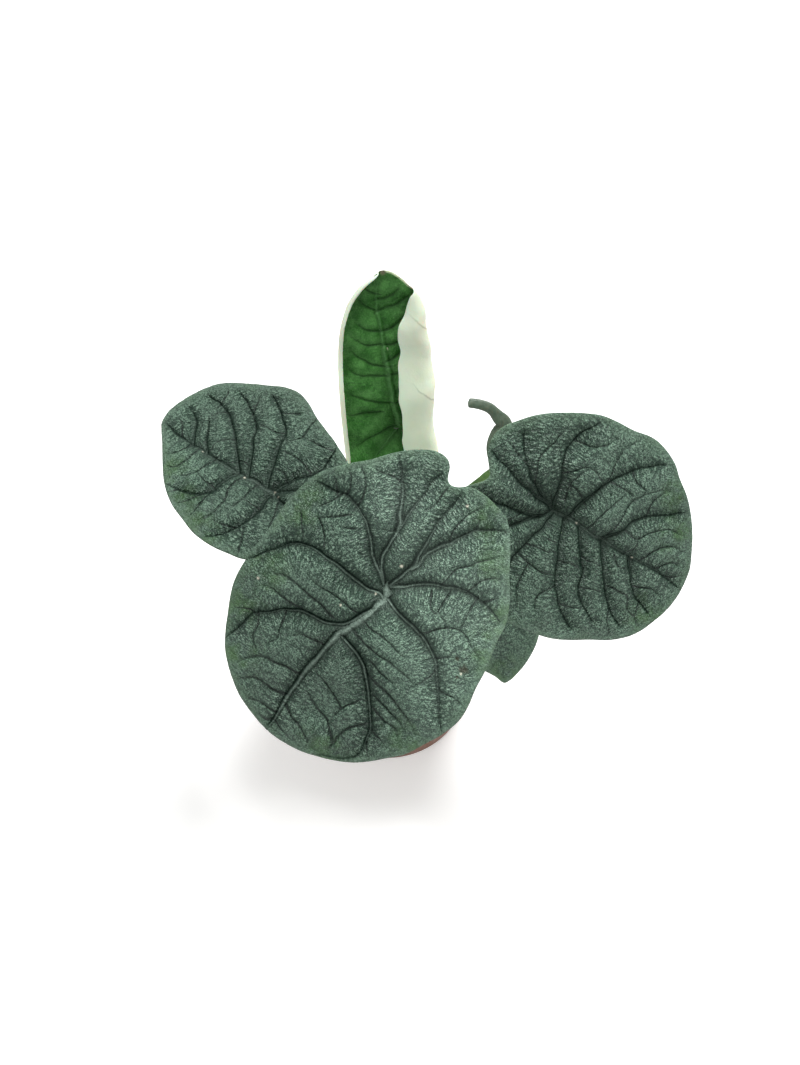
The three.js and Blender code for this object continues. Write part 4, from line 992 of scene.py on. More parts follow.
CROWN_TOP = 90.5
STALK = {
    "base": 3.4, "top": 2.3, "narrows": 0.87, "swell": 0.5, "flare": 0.7, "sides": 28, "steps": 72,
    "ring": 6.2, "foot": 81.5, "tall": 95,
}
# The ripples on a stalk: height, count round it, turns along it and turns for each seed.
RIPPLES = ((0.05, 3, 9, 1), (0.04, 7, -14, 2))
CHANNEL = {"depth": 0.22, "width": 0.4, "ends": (0.1, 0.5)}
SIDEWAYS = (0.3, 0.95, 0)
STALK_WAYS = {
    "front": {"leaf": FRONT, "azimuth": -98, "rise": 42, "approach": 34},
    "left": {"leaf": LEFT, "azimuth": -160, "rise": 46, "approach": 34},
    "right": {"leaf": RIGHT, "azimuth": 8, "rise": 50, "approach": 40},
    "low": {"leaf": LOW, "azimuth": -45, "rise": 22, "approach": 18},
}
YOUNG_WAY = {"foot": (0, 2, 87), "rise": (1, 14, 118), "approach": 16, "below": 18}

# The stalk of a leaf that was cut off, bent over at its blunt end and a flat open sheath below the
# bend. The stops give the places it passes through and, spread evenly along it, its half widths,
# its half depths and the depth of its channel.
OLD_STALK = [
    ((2, 5.9, 81.5), 3.4, 3.4, 0.0),
    ((8, 13, 95), 3.6, 3.0, 0.5),
    ((28, 16, 120.5), 4.6, 2.0, 1.2),
    ((45.7, 17.2, 143.5), 5.0, 1.7, 1.5),
    ((51, 19.1, 148.4), 4.8, 1.7, 1.5),
    ((49.3, 25, 158), 4.8, 1.5, 1.3),
    ((51.9, 30, 166.5), 4.3, 1.5, 0.9),
    ((49.3, 31.6, 169.6), 4.8, 1.5, 0.9),
    ((45.7, 33, 173), 4.6, 1.5, 0.9),
    ((41.2, 33.5, 174.9), 2.35, 1.4, 0.2),
    ((36, 33.6, 175.8), 2.1, 1.2, 0.1),
]
OLD_STALK_FACING = (-0.2, -0.7, 0.68)
BLUNT_END = 0.985


def bezier(a, b, c, d, steps):
    """Points along a curve from a to d that leaves towards b and comes in from c."""
    t = np.linspace(0, 1, steps + 1)[:, None]
    return (1 - t) ** 3 * a + 3 * (1 - t) ** 2 * t * b + 3 * (1 - t) * t ** 2 * c + t ** 3 * d


def tube(name, middle, facing, section, sides):
    """A closed tube along a line of points. section(s, angle) gives offsets (across, through)."""
    tangent = np.gradient(middle, axis=0)
    tangent /= np.linalg.norm(tangent, axis=1)[:, None]
    across = np.cross(tangent, np.array(facing, float))
    across /= np.linalg.norm(across, axis=1)[:, None]
    through = np.cross(tangent, across)
    angle = np.linspace(0, 2 * math.pi, sides, endpoint=False)
    share = np.linspace(0, 1, len(middle))
    wide, deep = section(share[:, None], angle[None, :])
    offset = wide[..., None] * across[:, None]
    points = middle[:, None] + offset + deep[..., None] * through[:, None]
    points = np.vstack([points.reshape(-1, 3), middle[0], middle[-1]])
    i, k = np.meshgrid(np.arange(len(middle) - 1), np.arange(sides), indexing="ij")
    here, beside = i * sides + k, i * sides + (k + 1) % sides
    walls = np.stack([here, beside, beside + sides, here + sides], -1).reshape(-1, 4)
    ring = np.arange(sides)
    last = (len(middle) - 1) * sides
    foot = np.stack([np.roll(ring, -1), ring, np.full(sides, len(points) - 2)], -1)
    head = np.stack([last + ring, last + np.roll(ring, -1), np.full(sides, len(points) - 1)], -1)
    return make_mesh(name, points, [walls, foot, head])


def leaf_stalk_section(seed):
    """A round stalk with a swollen foot, a shallow channel up its front and a flared top."""
    def section(s, angle):
        narrow = np.minimum(1, s / STALK["narrows"])
        radius = STALK["base"] + (STALK["top"] - STALK["base"]) * narrow
        radius = radius + STALK["swell"] * np.exp(-((s / 0.08) ** 2))
        radius = radius + STALK["flare"] * np.exp(-((1 - s) / 0.03))
        ripple = sum(
            height * np.sin(count * angle + turns * s + shift * seed)
            for height, count, turns, shift in RIPPLES
        )
        front = np.exp(-((angle - math.pi / 2) / CHANNEL["width"]) ** 2)
        channel = CHANNEL["depth"] * front * smoothstep(1 - s, *CHANNEL["ends"])
        radius = radius * (1 + ripple * 0.5 - channel)
        return radius * np.cos(angle), radius * np.sin(angle)
    return section


def old_stalk_section(s, angle):
    """The old stalk's width and depth between its stops, with a channel and a crease in it."""
    place = s * (len(OLD_STALK) - 1)
    stops = np.arange(len(OLD_STALK))
    wide, deep, channel = (np.interp(place, stops, sizes) for sizes in list(zip(*OLD_STALK))[1:])
    blunt = np.clip(1 - np.clip((s - BLUNT_END) / (1 - BLUNT_END), 0, 1) ** 4, 0.02, 1) ** 0.5
    across = wide * blunt * np.cos(angle)
    share = np.cos(angle)
    dish = channel * (1 - share ** 2) * np.where(np.sin(angle) < 0, 1.0, 0.55)
    crease = 0.35 * channel * np.exp(-((share - 0.35) / 0.16) ** 2)
    return across, deep * blunt * np.sin(angle) + dish - 0.5 * channel + crease


def make_stalks():
    """A stalk from the crown to each leaf, and the old one."""
    pieces = {}
    sides = STALK["sides"]
    for k, (name, way) in enumerate(STALK_WAYS.items()):
        seat = way["leaf"]["seat"]
        normal = blade_axes(way["leaf"])[3]
        turn = math.radians(way["azimuth"])
        out = np.array([math.cos(turn), math.sin(turn), 0])
        foot = out * STALK["ring"] + np.array([0, 0, STALK["foot"]])
        rise = foot + way["rise"] * (0.5 * out + np.array([0, 0, 0.87]))
        middle = bezier(foot, rise, seat - way["approach"] * normal, seat, STALK["steps"])
        pieces[name] = tube(f"stalk_{name}_skin", middle, SIDEWAYS, leaf_stalk_section(k), sides)
    seat, normal = YOUNG["seat"], blade_axes(YOUNG)[3]
    foot, rise = np.array(YOUNG_WAY["foot"], float), np.array(YOUNG_WAY["rise"], float)
    below = seat - YOUNG_WAY["approach"] * normal - np.array([0, 0, YOUNG_WAY["below"]])
    middle = bezier(foot, rise, below, seat, STALK["steps"])
    pieces["young"] = tube("stalk_young_skin", middle, (1, 0, 0), leaf_stalk_section(9), sides)
    middle = spline([stop[0] for stop in OLD_STALK], 0.4)
    pieces["old"] = tube("stalk_old_skin", middle, OLD_STALK_FACING, old_stalk_section, 40)
    for name, piece in pieces.items():
        add_height(piece, CROWN_TOP)
        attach(piece, "root")
        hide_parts(f"stalk_{name}")
    return pieces


def add_height(piece, foot):
    """How far up the plant each point is, from 0 at the foot to 1 at the highest leaf."""
    add_field(piece, "rise", np.clip((positions(piece)[:, 2] / MM - foot) / STALK["tall"], 0, 1))


# ---- pot, soil and crown ----

POT_SIDES = 144
DRAIN = {"radius": 4.0, "ring": 25.5, "count": 6, "sides": 32}
# (radius, height) stops: the foot's flat middle, its recess with the drain holes and its standing
# ring; and the crown, from inside the soil to its top.
FOOT_PROFILE = [(0.01, 0), (17, 0), (18, 0.6), (18.5, 1.5), (32.5, 1.5), (33, 0.6), (34, 0)]
CROWN_PROFILE = [(9, 76), (9.2, 81), (7.6, 86), (4.5, 89.3), (0.02, 90.4)]
CORNER = 1.2
LIP = (0.9, 0.6)
SOIL_GRID = 150
CRUMBS = ((0.45, 61, 2.2), (0.25, 62, 1.0), (0.5, 63, 5))
BARK = {
    "count": 150, "seed": 31, "size": (4, 11), "reach": (9, 45), "flatness": (0.25, 0.5),
    "ragged": 0.05,
}
PERLITE = {
    "count": 110, "seed": 32, "size": (1.6, 3.8), "reach": (9, 46), "flatness": (0.7, 0.95),
    "ragged": 0.06,
}
SHEATHS = {"count": 5, "rows": 14, "columns": 10, "skin": 0.35, "foot": 78}


def lathe(name, profile, sides, closed=False):
    """A surface turned about +Z from (radius, height) stops."""
    profile = np.array(profile, float)
    angle = np.linspace(0, 2 * math.pi, sides, endpoint=False)
    radius, height = profile[:, 0][:, None], profile[:, 1][:, None]
    points = np.stack([radius * np.cos(angle), radius * np.sin(angle), height + 0 * angle], -1)
    count = len(profile)
    i, k = np.meshgrid(np.arange(count if closed else count - 1), np.arange(sides), indexing="ij")
    here, after, beside = i * sides, (i + 1) % count * sides, (k + 1) % sides
    faces = np.stack([here + k, here + beside, after + beside, after + k], -1)
    return make_mesh(name, points.reshape(-1, 3), [faces.reshape(-1, 4)])


def arc(centre, radius, start, end, steps=5):
    """Profile stops round a corner, its angles in degrees."""
    turns = np.radians(np.linspace(start, end, steps))
    return [(centre[0] + radius * math.cos(t), centre[1] + radius * math.sin(t)) for t in turns]


def make_pot():
    """A thin-walled nursery pot: a stepped rim band, a flat foot with a recess and drain holes."""
    band = POT_HEIGHT - POT_RIM_BAND
    inner = POT_RIM_RADIUS - 2 * POT_WALL
    slope = (POT_NECK_RADIUS - POT_FOOT_RADIUS) / band
    floor_radius = POT_FOOT_RADIUS + slope * POT_FLOOR - POT_WALL
    profile = [
        *FOOT_PROFILE,
        *arc((POT_FOOT_RADIUS - CORNER, CORNER), CORNER, -90, -6),
        (POT_FOOT_RADIUS + slope * 20, 20), (POT_FOOT_RADIUS + slope * 50, 50),
        (POT_NECK_RADIUS - 0.1, band - 0.6), (POT_NECK_RADIUS + 0.3, band),
        *arc((POT_RIM_RADIUS - 2.0, band + 1.6), CORNER, -80, 0),
        (POT_RIM_RADIUS - 0.35, band + 6), (POT_RIM_RADIUS - 0.1, POT_HEIGHT - 2.6),
        *arc((POT_RIM_RADIUS - LIP[0], POT_HEIGHT - LIP[0]), LIP[0], 0, 90),
        *arc((inner + LIP[1], POT_HEIGHT - LIP[1]), LIP[1], 90, 180),
        (inner - 0.2, POT_HEIGHT - 4), (POT_NECK_RADIUS - POT_WALL + 0.4, band + 1),
        (POT_NECK_RADIUS - POT_WALL, band - 1), (floor_radius + 1, POT_FLOOR + 4),
        (floor_radius - 1, POT_FLOOR), (0.01, POT_FLOOR),
    ]
    pot = lathe("pot_shell", profile, POT_SIDES)
    drills = []
    ring = DRAIN["ring"]
    hole = [(0.01, -4), (DRAIN["radius"], -4), (DRAIN["radius"], 8), (0.01, 8)]
    for k in range(DRAIN["count"]):
        turn = 2 * math.pi * k / DRAIN["count"]
        drill = lathe("drill", hole, DRAIN["sides"])
        drill.location = (ring * math.cos(turn) * MM, ring * math.sin(turn) * MM, 0)
        drills.append(drill)
        cut = pot.modifiers.new("drain", "BOOLEAN")
        cut.operation = "DIFFERENCE"
        cut.object = drill
    graph = bpy.context.evaluated_depsgraph_get()
    pot.data = bpy.data.meshes.new_from_object(pot.evaluated_get(graph))
    pot.modifiers.clear()
    for drill in drills:
        bpy.data.objects.remove(drill)
    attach(pot, "root")
    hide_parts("pot")
    return pot


def soil_height(x, y):
    """The soil's top as the CAD has it."""
    height = SOIL_TOP + 2.5 * np.exp(-(x * x + y * y) / 22 ** 2)
    height = height + 1.1 * np.sin(0.41 * x + 1.3) + 0.8 * np.sin(0.37 * y + 1.6)
    return height + 0.6 * np.sin(0.83 * x - 0.71 * y + 2)


def make_soil():
    """The potting mix: a crumbly top, and plain sides and bottom inside the pot."""
    n = SOIL_GRID
    x, y = disc_grid(n)
    wall = (POT_NECK_RADIUS - POT_FOOT_RADIUS) / (POT_HEIGHT - POT_RIM_BAND)
    top_radius = POT_FOOT_RADIUS + wall * (SOIL_TOP - 4) - POT_WALL - 0.5
    foot_radius = POT_FOOT_RADIUS + wall * POT_FLOOR - POT_WALL - 0.7
    px, py = x * top_radius, y * top_radius
    fraction = np.hypot(x, y)
    crumbs = sum(size * blur_noise(seed, pitch, px, py) for size, seed, pitch in CRUMBS)
    height = soil_height(px, py) + crumbs * smoothstep(1 - fraction, 0, 0.06)
    height = height + (SOIL_TOP - 2 - height) * smoothstep(fraction, 0.93, 1)
    top = np.stack([px, py, height], -1).reshape(-1, 3)
    foot = np.stack([x * foot_radius, y * foot_radius, np.full(x.shape, POT_FLOOR + 0.35)], -1)
    upper, lower = grid_border(n, n, 0), grid_border(n, n, len(top))
    walls = np.stack([upper, lower, np.roll(lower, -1), np.roll(upper, -1)], -1)
    faces = [grid_faces(n, 0, False), grid_faces(n, len(top), True), walls]
    soil = make_mesh("potting_mix", np.vstack([top, foot.reshape(-1, 3)]), faces)
    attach(soil, "root")
    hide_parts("soil")
    return soil


def scatter(name, count, seed, size, reach, flatness, ragged):
    """Seeded bits half sunk in the soil's top: small rough lumps, all in one mesh. They lie between
    the two reaches from the middle, and flatness is their height against their length."""
    rng = np.random.default_rng(seed)
    ball = bmesh.new()
    bmesh.ops.create_icosphere(ball, subdivisions=2, radius=1)
    shape = np.array([vert.co for vert in ball.verts])
    corners = np.array([[vert.index for vert in face.verts] for face in ball.faces])
    ball.free()
    points, faces = [], []
    for _ in range(count):
        far = reach[0] + (reach[1] - reach[0]) * math.sqrt(rng.random())
        turn = rng.uniform(0, 2 * math.pi)
        length = rng.uniform(*size)
        stretch = length * np.array([1, rng.uniform(0.45, 0.9), rng.uniform(*flatness)])
        rough = 1 + ragged * rng.standard_normal(len(shape))[:, None]
        lump = np.sign(shape) * np.abs(shape) ** 0.8 * rough * stretch / 2
        spin, tilt, lean = rng.uniform(0, 2 * math.pi), rng.normal(0, 0.3), rng.normal(0, 0.3)
        frame_turn = np.array(Matrix.Rotation(spin, 3, "Z") @ Matrix.Rotation(tilt, 3, "X")
                              @ Matrix.Rotation(lean, 3, "Y"))
        x, y = far * math.cos(turn), far * math.sin(turn)
        middle = np.array([x, y, float(soil_height(x, y)) + stretch[2] * 0.22])
        faces.append(corners + len(shape) * len(points))
        points.append(lump @ frame_turn.T + middle)
    piece = make_mesh(name, np.vstack(points), [np.vstack(faces)])
    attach(piece, "root")
    return piece


def make_crown():
    """The short stem at the soil, ringed with the scars of old leaves."""
    crown = lathe("crown_stem", spline(CROWN_PROFILE, 0.35), 72)
    co = positions(crown).astype(float) / MM
    turn = np.arctan2(co[:, 1], co[:, 0])
    radius = np.hypot(co[:, 0], co[:, 1])
    rings = 0.35 * np.sin(co[:, 2] * 2.4 + 0.8 * np.sin(turn))
    rings = rings + 0.3 * blur_noise(71, 1.6, turn * 8, co[:, 2])
    grown = np.where(radius > 0.5, radius + rings - 0.2, radius)
    co[:, 0], co[:, 1] = grown * np.cos(turn), grown * np.sin(turn)
    crown.data.vertices.foreach_set("co", (co * MM).astype(np.float32).ravel())
    crown.data.update()
    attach(crown, "root")
    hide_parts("crown")
    return crown


def make_sheaths():
    """Papery dry sheaths round the crown: thin curved triangles."""
    rng = np.random.default_rng(81)
    points, faces = [], []
    rows, columns = SHEATHS["rows"], SHEATHS["columns"]
    for k in range(SHEATHS["count"]):
        start = 2 * math.pi * k / SHEATHS["count"] + rng.uniform(-0.3, 0.3)
        height = rng.uniform(14, 30)
        spread = rng.uniform(0.5, 0.75)
        lean = rng.uniform(0.02, 0.18)
        s, c = np.meshgrid(np.linspace(0, 1, rows), np.linspace(-1, 1, columns), indexing="ij")
        turn = start + c * spread * (1 - s ** 1.6) + 0.12 * np.sin(5 * s + k)
        ring = 9.6 - 3.2 * np.minimum(s * height / 9, 1) + lean * s * height + 0.5 * c ** 2
        z = SHEATHS["foot"] + s * height + 0.8 * np.sin(3 * c + k) * s
        for side in (0, SHEATHS["skin"]):
            at = len(points) * rows * columns
            r = ring + side
            points.append(np.stack([r * np.cos(turn), r * np.sin(turn), z], -1).reshape(-1, 3))
            i, j = np.meshgrid(np.arange(rows - 1), np.arange(columns - 1), indexing="ij")
            q = at + i * columns + j
            quads = np.stack([q, q + 1, q + columns + 1, q + columns], -1).reshape(-1, 4)
            faces.append(quads if side else quads[:, ::-1])
        a = np.array(grid_border(rows - 1, columns - 1, (len(points) - 2) * rows * columns))
        b = a + rows * columns
        faces.append(np.stack([a, np.roll(a, -1), np.roll(b, -1), b], -1))
    piece = make_mesh("dry_sheaths", np.vstack(points), faces)
    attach(piece, "root")
    return piece


# ---- materials ----

class Nodes:
    """Builds one material's nodes in few words. A socket or a number may be given for any input."""

    def __init__(self, name):
        self.material = bpy.data.materials.new(name)
        self.material.use_nodes = True
        self.tree = self.material.node_tree
        self.shader = self.tree.nodes["Principled BSDF"]

    def node(self, kind, inputs=(), **settings):
        node = self.tree.nodes.new(kind)
        for key, value in settings.items():
            setattr(node, key, value)
        for key, value in dict(inputs).items():
            self.set(node.inputs[key], value)
        return node

    def set(self, socket, value):
        if isinstance(value, bpy.types.NodeSocket):
            self.tree.links.new(value, socket)
        else:
            socket.default_value = value

    def field(self, name):
        """A mask that the mesh carries."""
        return self.node("ShaderNodeAttribute", attribute_name=name).outputs["Fac"]

    def vectors(self, name):
        """Three values that the mesh carries."""
        return self.node("ShaderNodeAttribute", attribute_name=name).outputs["Vector"]

    def parts(self, name):
        """The three values one by one."""
        node = self.node("ShaderNodeSeparateXYZ", {"Vector": self.vectors(name)})
        return node.outputs["X"], node.outputs["Y"], node.outputs["Z"]

    def place(self, scale=(1000, 1000, 1000)):
        """The object's own coordinates in mm, stretched by scale."""
        coords = self.node("ShaderNodeTexCoord").outputs["Object"]
        mapping = self.node("ShaderNodeMapping", {"Vector": coords})
        mapping.inputs["Scale"].default_value = scale
        return mapping.outputs["Vector"]

    def noise(self, vector, scale, detail=2.0, rough=0.5):
        inputs = {"Vector": vector, "Scale": scale, "Detail": detail, "Roughness": rough}
        return self.node("ShaderNodeTexNoise", inputs).outputs["Fac"]

    def cells(self, vector, scale):
        """The distance to the middle of the nearest of many scattered cells."""
        node = self.node("ShaderNodeTexVoronoi", {"Vector": vector, "Scale": scale})
        return node.outputs["Distance"]

    def math(self, operation, a, b=0.0, clamp=False):
        node = self.node("ShaderNodeMath", operation=operation, use_clamp=clamp)
        self.set(node.inputs[0], a)
        self.set(node.inputs[1], b)
        return node.outputs[0]

    def times(self, a, b, clamp=False):
        return self.math("MULTIPLY", a, b, clamp)

    def plus(self, a, b):
        return self.math("ADD", a, b)

    def minus(self, a, b, clamp=False):
        return self.math("SUBTRACT", a, b, clamp)

    def bell(self, value, centre, width):
        """1 where value is centre, falling to 0 about two widths away."""
        away = self.math("DIVIDE", self.minus(value, centre), width)
        return self.math("EXPONENT", self.times(self.times(away, away), -1.0))

    def range(self, value, low, high, to_low=0.0, to_high=1.0):
        inputs = {"Value": value, "From Min": low, "From Max": high, "To Min": to_low,
                  "To Max": to_high}
        return self.node("ShaderNodeMapRange", inputs).outputs["Result"]

    def mix(self, share, a, b):
        """From colour a to colour b by share."""
        node = self.node("ShaderNodeMix", data_type="RGBA")
        self.set(node.inputs["Factor"], share)
        self.set(node.inputs[6], a if isinstance(a, bpy.types.NodeSocket) else (*a, 1))
        self.set(node.inputs[7], b if isinstance(b, bpy.types.NodeSocket) else (*b, 1))
        return node.outputs[2]

    def mottled(self, noise, a, b):
        """Two colours in soft patches."""
        return self.mix(self.range(noise, 0.35, 0.65), a, b)

    def layers(self, colour, *coats):
        """The colour with further ones laid over it, each by its share."""
        for share, over in coats:
            colour = self.mix(share, colour, over)
        return colour

    def share(self, mask, amount):
        """So much of a mask that the mesh carries."""
        return self.times(self.field(mask), amount)

    def toned_with_painted_light(self, colour):
        """The colour made lighter or darker by the blade's tone: a slow drift, with painted light
        and painted shade.
        """
        node = self.node("ShaderNodeVectorMath", operation="SCALE")
        self.set(node.inputs[0], colour)
        self.set(node.inputs["Scale"], self.field("tone_and_painted_light"))
        return node.outputs[0]

    def bump(self, height, distance, normal=None):
        """A normal tilted by a height field whose unit is distance, in metres."""
        node = self.node("ShaderNodeBump", {"Height": height, "Distance": distance})
        if normal is not None:
            self.set(node.inputs["Normal"], normal)
        return node.outputs["Normal"]

    def finish(self, colour, roughness, normal=None, **constants):
        """The finished material. A constant's name is its input's, with _ for each space."""
        self.set(self.shader.inputs["Base Color"], colour)
        self.set(self.shader.inputs["Roughness"], roughness)
        if normal is not None:
            self.set(self.shader.inputs["Normal"], normal)
        for key, value in constants.items():
            self.shader.inputs[key.replace("_", " ")].default_value = value
        return self.material


def vein_masks(m, flat, spread=1.0):
    """The main veins' pale cords, the painted shade in their ditches and the side veins' creases.
    The distances are signed, so the lines stay sharp between the corners of the mesh."""
    broken = m.noise(flat, 0.8, 2, 0.6)
    sway = m.times(m.minus(m.noise(flat, 0.45, 2), 0.5), 0.9)
    signed, near, width = m.parts("main")
    strength = m.field("cord")
    beside = m.range(near, 3.4, 2.2)
    away = m.math("ABSOLUTE", m.plus(signed, m.times(sway, 0.4)))
    bright = m.field("bright")
    cord = m.times(m.bell(away, 0.0, width), beside)
    cord = m.times(cord, m.times(strength, m.range(broken, 0.3, 0.6, 0.45, 1)))
    # The ditch's painted shade beside the cord, wider and darker on the side that lies towards the
    # light.
    place = m.times(m.plus(m.times(width, 1.35), 0.22), m.range(strength, 0.05, 0.5))
    place = m.plus(place, m.range(bright, -1, 1, -0.1, 0.12))
    painted_ditch_shade = m.times(m.bell(away, place, m.range(bright, -1, 1, 0.3, 0.62)), beside)
    painted_ditch_shade = m.times(painted_ditch_shade, m.range(broken, 0.25, 0.5, 0.6, 1))
    painted_ditch_shade = m.times(painted_ditch_shade, m.range(bright, -0.9, 0.3, 0.5, 1))
    painted_ditch_shade = m.times(painted_ditch_shade, m.field("painted_ditch_shade"))
    signed, near, width = m.parts("side")
    away = m.math("ABSOLUTE", m.plus(signed, m.times(sway, 0.8)))
    wide = m.times(width, spread)
    crease = m.times(m.bell(away, 0.0, wide), m.range(near, 2.4, 1.4))
    crease = m.times(crease, m.field("crease"))
    crease = m.times(crease, m.range(broken, 0.25, 0.45, 0.6, 1.4), clamp=True)
    return cord, painted_ditch_shade, crease


def blade_material():
    m = Nodes("blade_upper")
    flat = m.vectors("flat")
    rough = m.field("rough")
    cord, painted_ditch_shade, crease = vein_masks(m, flat)
    wrinkle = m.minus(0.42, m.cells(m.vectors("way"), 1.15))
    amount = m.times(rough, m.range(m.field("sure"), 0, 1, 0.4, 1))
    beads = m.minus(0.45, m.cells(flat, 1.75))
    grain = m.minus(m.noise(flat, 1.3, 2, 0.7), 0.5)
    crest = m.plus(m.times(beads, m.range(rough, 0.2, 1.0, 0.5, 1.2)), m.times(grain, 1.5))
    crest = m.plus(crest, m.times(m.times(wrinkle, 1.3), amount))
    blotch = m.noise(flat, 0.085, 4, 0.65)
    # Painted glints: pale specks that stand in for highlights on the grain's crests, more where the
    # skin is rough.
    painted_glint = m.times(m.range(crest, 0.24, 0.5), m.range(rough, 0.4, 1.1, 0.1, 0.7))
    patch = m.plus(m.share("edge", 0.5), m.field("green"))
    green = m.times(m.range(blotch, 0.42, 0.60), patch)
    colour = m.layers(
        # The leaf's green, darker in the grain's pits and lighter on its crests: painted shade and
        # painted light of the fine relief.
        m.mix(m.range(crest, -0.36, 0.36), (0.0155, 0.042, 0.026), (0.154, 0.252, 0.180)),
        (painted_glint, (0.29, 0.39, 0.31)),
        (m.times(green, 0.55, clamp=True), (0.044, 0.112, 0.026)),
        # Painted shade: in the hollows along the veins, in the creases of the fine net and of the
        # side veins, and in the ditches beside the cords.
        (m.range(m.field("hollow"), 0.2, 0.85, 0, 0.75), (0.008, 0.020, 0.013)),
        (m.share("net", 0.3), (0.018, 0.040, 0.026)),
        (m.times(crease, 0.9), (0.005, 0.014, 0.009)),
        (m.times(painted_ditch_shade, 0.92), (0.003, 0.009, 0.006)),
        (m.times(cord, 0.95, clamp=True), (0.180, 0.250, 0.204)),
        (m.share("band", 0.25), (0.085, 0.140, 0.095)),
        (m.field("scar"), (0.022, 0.026, 0.010)),
        (m.field("speck"), (0.62, 0.60, 0.48)),
    )
    lines = m.minus(m.times(cord, 0.6), m.plus(painted_ditch_shade, crease))
    normal = m.bump(crest, 0.00045, normal=m.bump(lines, 0.00035))
    roughness = m.range(m.noise(flat, 0.9, 2), 0.3, 0.7, 0.36, 0.5)
    m.set(m.shader.inputs["Specular IOR Level"], m.times(0.4, m.minus(1.0, painted_ditch_shade, clamp=True)))
    # Painted light and painted shade from the blade's tone, and a painted sheen: where the tone is
    # above 1 the colour is paled towards grey.
    painted_sheen = m.range(m.field("tone_and_painted_light"), 1.0, 1.8, 0, 0.2)
    colour = m.mix(painted_sheen, m.toned_with_painted_light(colour), (0.190, 0.215, 0.200))
    return m.finish(colour, roughness, normal)


def under_material():
    m = Nodes("blade_under")
    flat = m.vectors("flat")
    cord = vein_masks(m, flat)[0]
    colour = m.mottled(m.noise(flat, 0.5, 4, 0.6), (0.13, 0.21, 0.11), (0.17, 0.25, 0.14))
    colour = m.mix(m.times(cord, 0.8, clamp=True), colour, (0.26, 0.34, 0.17))
    normal = m.bump(m.noise(flat, 1.6, 3), 0.0002)
    return m.finish(colour, 0.55, normal, Specular_IOR_Level=0.35)


def young_material():
    m = Nodes("young_upper")
    flat = m.vectors("flat")
    cord, painted_ditch_shade, crease = vein_masks(m, flat, 1.6)
    grain = m.noise(flat, 1.5, 3, 0.65)
    cloud = m.plus(m.noise(flat, 0.13, 3, 0.6), m.times(grain, 0.5))
    colour = m.layers(
        m.mix(m.range(cloud, 0.62, 0.88), (0.018, 0.118, 0.010), (0.092, 0.290, 0.066)),
        # Painted shade: in the hollows, the side veins' creases and the ditches beside the cords.
        (m.range(m.field("hollow"), 0.03, 0.3, 0, 0.6), (0.008, 0.070, 0.003)),
        (m.times(crease, 0.8), (0.005, 0.056, 0.002)),
        (m.times(painted_ditch_shade, 0.3), (0.003, 0.048, 0.001)),
        (m.times(cord, 0.85, clamp=True), (0.100, 0.265, 0.085)),
        # Painted shade along the margin, where the blade turns into its rolls.
        (m.share("edge", 0.5), (0.014, 0.100, 0.004)),
        (m.share("rim", 0.8), (0.56, 0.64, 0.42)),
        (m.field("scar"), (0.16, 0.15, 0.09)),
        (m.field("speck"), (0.6, 0.65, 0.45)),
    )
    lines = m.minus(m.times(cord, 0.5), m.plus(painted_ditch_shade, crease))
    normal = m.bump(m.plus(grain, m.cells(flat, 1.2)), 0.0002, normal=m.bump(lines, 0.0002))
    # Painted shade from the blade's tone, beside the wide roll's fold and near the tip.
    return m.finish(m.toned_with_painted_light(colour), 0.5, normal, Specular_IOR_Level=0.28)


def young_under_material():
    m = Nodes("young_under")
    flat = m.vectors("flat")
    crease = vein_masks(m, flat)[2]
    colour = m.layers(
        m.mottled(m.noise(flat, 0.12, 3), (0.75, 0.78, 0.62), (0.79, 0.81, 0.65)),
        (m.times(crease, 0.6), (0.20, 0.25, 0.15)),
        (m.field("scar"), (0.20, 0.17, 0.10)),
    )
    normal = m.bump(m.noise(flat, 1.3, 3), 0.00015)
    # Painted shade from the blade's tone, along the wide roll and over its top near the tip.
    return m.finish(m.toned_with_painted_light(colour), 0.65, normal, Specular_IOR_Level=0.15,
                    Subsurface_Weight=0.35, Subsurface_Scale=0.004)


def stalk_material():
    m = Nodes("stalk_skin")
    along = m.place((900, 900, 90))
    mottle = m.noise(m.place((1000, 1000, 400)), 0.35, 4, 0.6)
    colour = m.mottled(mottle, (0.060, 0.130, 0.036), (0.110, 0.200, 0.060))
    grey = m.mottled(mottle, (0.058, 0.088, 0.060), (0.096, 0.130, 0.094))
    colour = m.mix(m.range(m.field("rise"), 0.60, 0.70), colour, grey)
    streak = m.noise(along, 1.2, 3, 0.6)
    colour = m.mix(m.range(streak, 0.52, 0.72, 0, 0.5), colour, (0.105, 0.085, 0.045))
    normal = m.bump(streak, 0.0003)
    return m.finish(colour, 0.42, normal, Specular_IOR_Level=0.45)


def pot_material():
    m = Nodes("pot_plastic")
    place = m.place()
    cloud = m.noise(place, 0.035, 4, 0.6)
    colour = m.mottled(cloud, (0.140, 0.050, 0.022), (0.178, 0.068, 0.031))
    dust = m.noise(m.place((1000, 1000, 250)), 0.25, 5, 0.65)
    colour = m.mix(m.range(dust, 0.56, 0.75, 0, 0.35), colour, (0.34, 0.20, 0.13))
    roughness = m.range(dust, 0.35, 0.7, 0.42, 0.62)
    normal = m.bump(m.noise(place, 1.4, 3), 0.00008)
    return m.finish(colour, roughness, normal, Specular_IOR_Level=0.45)


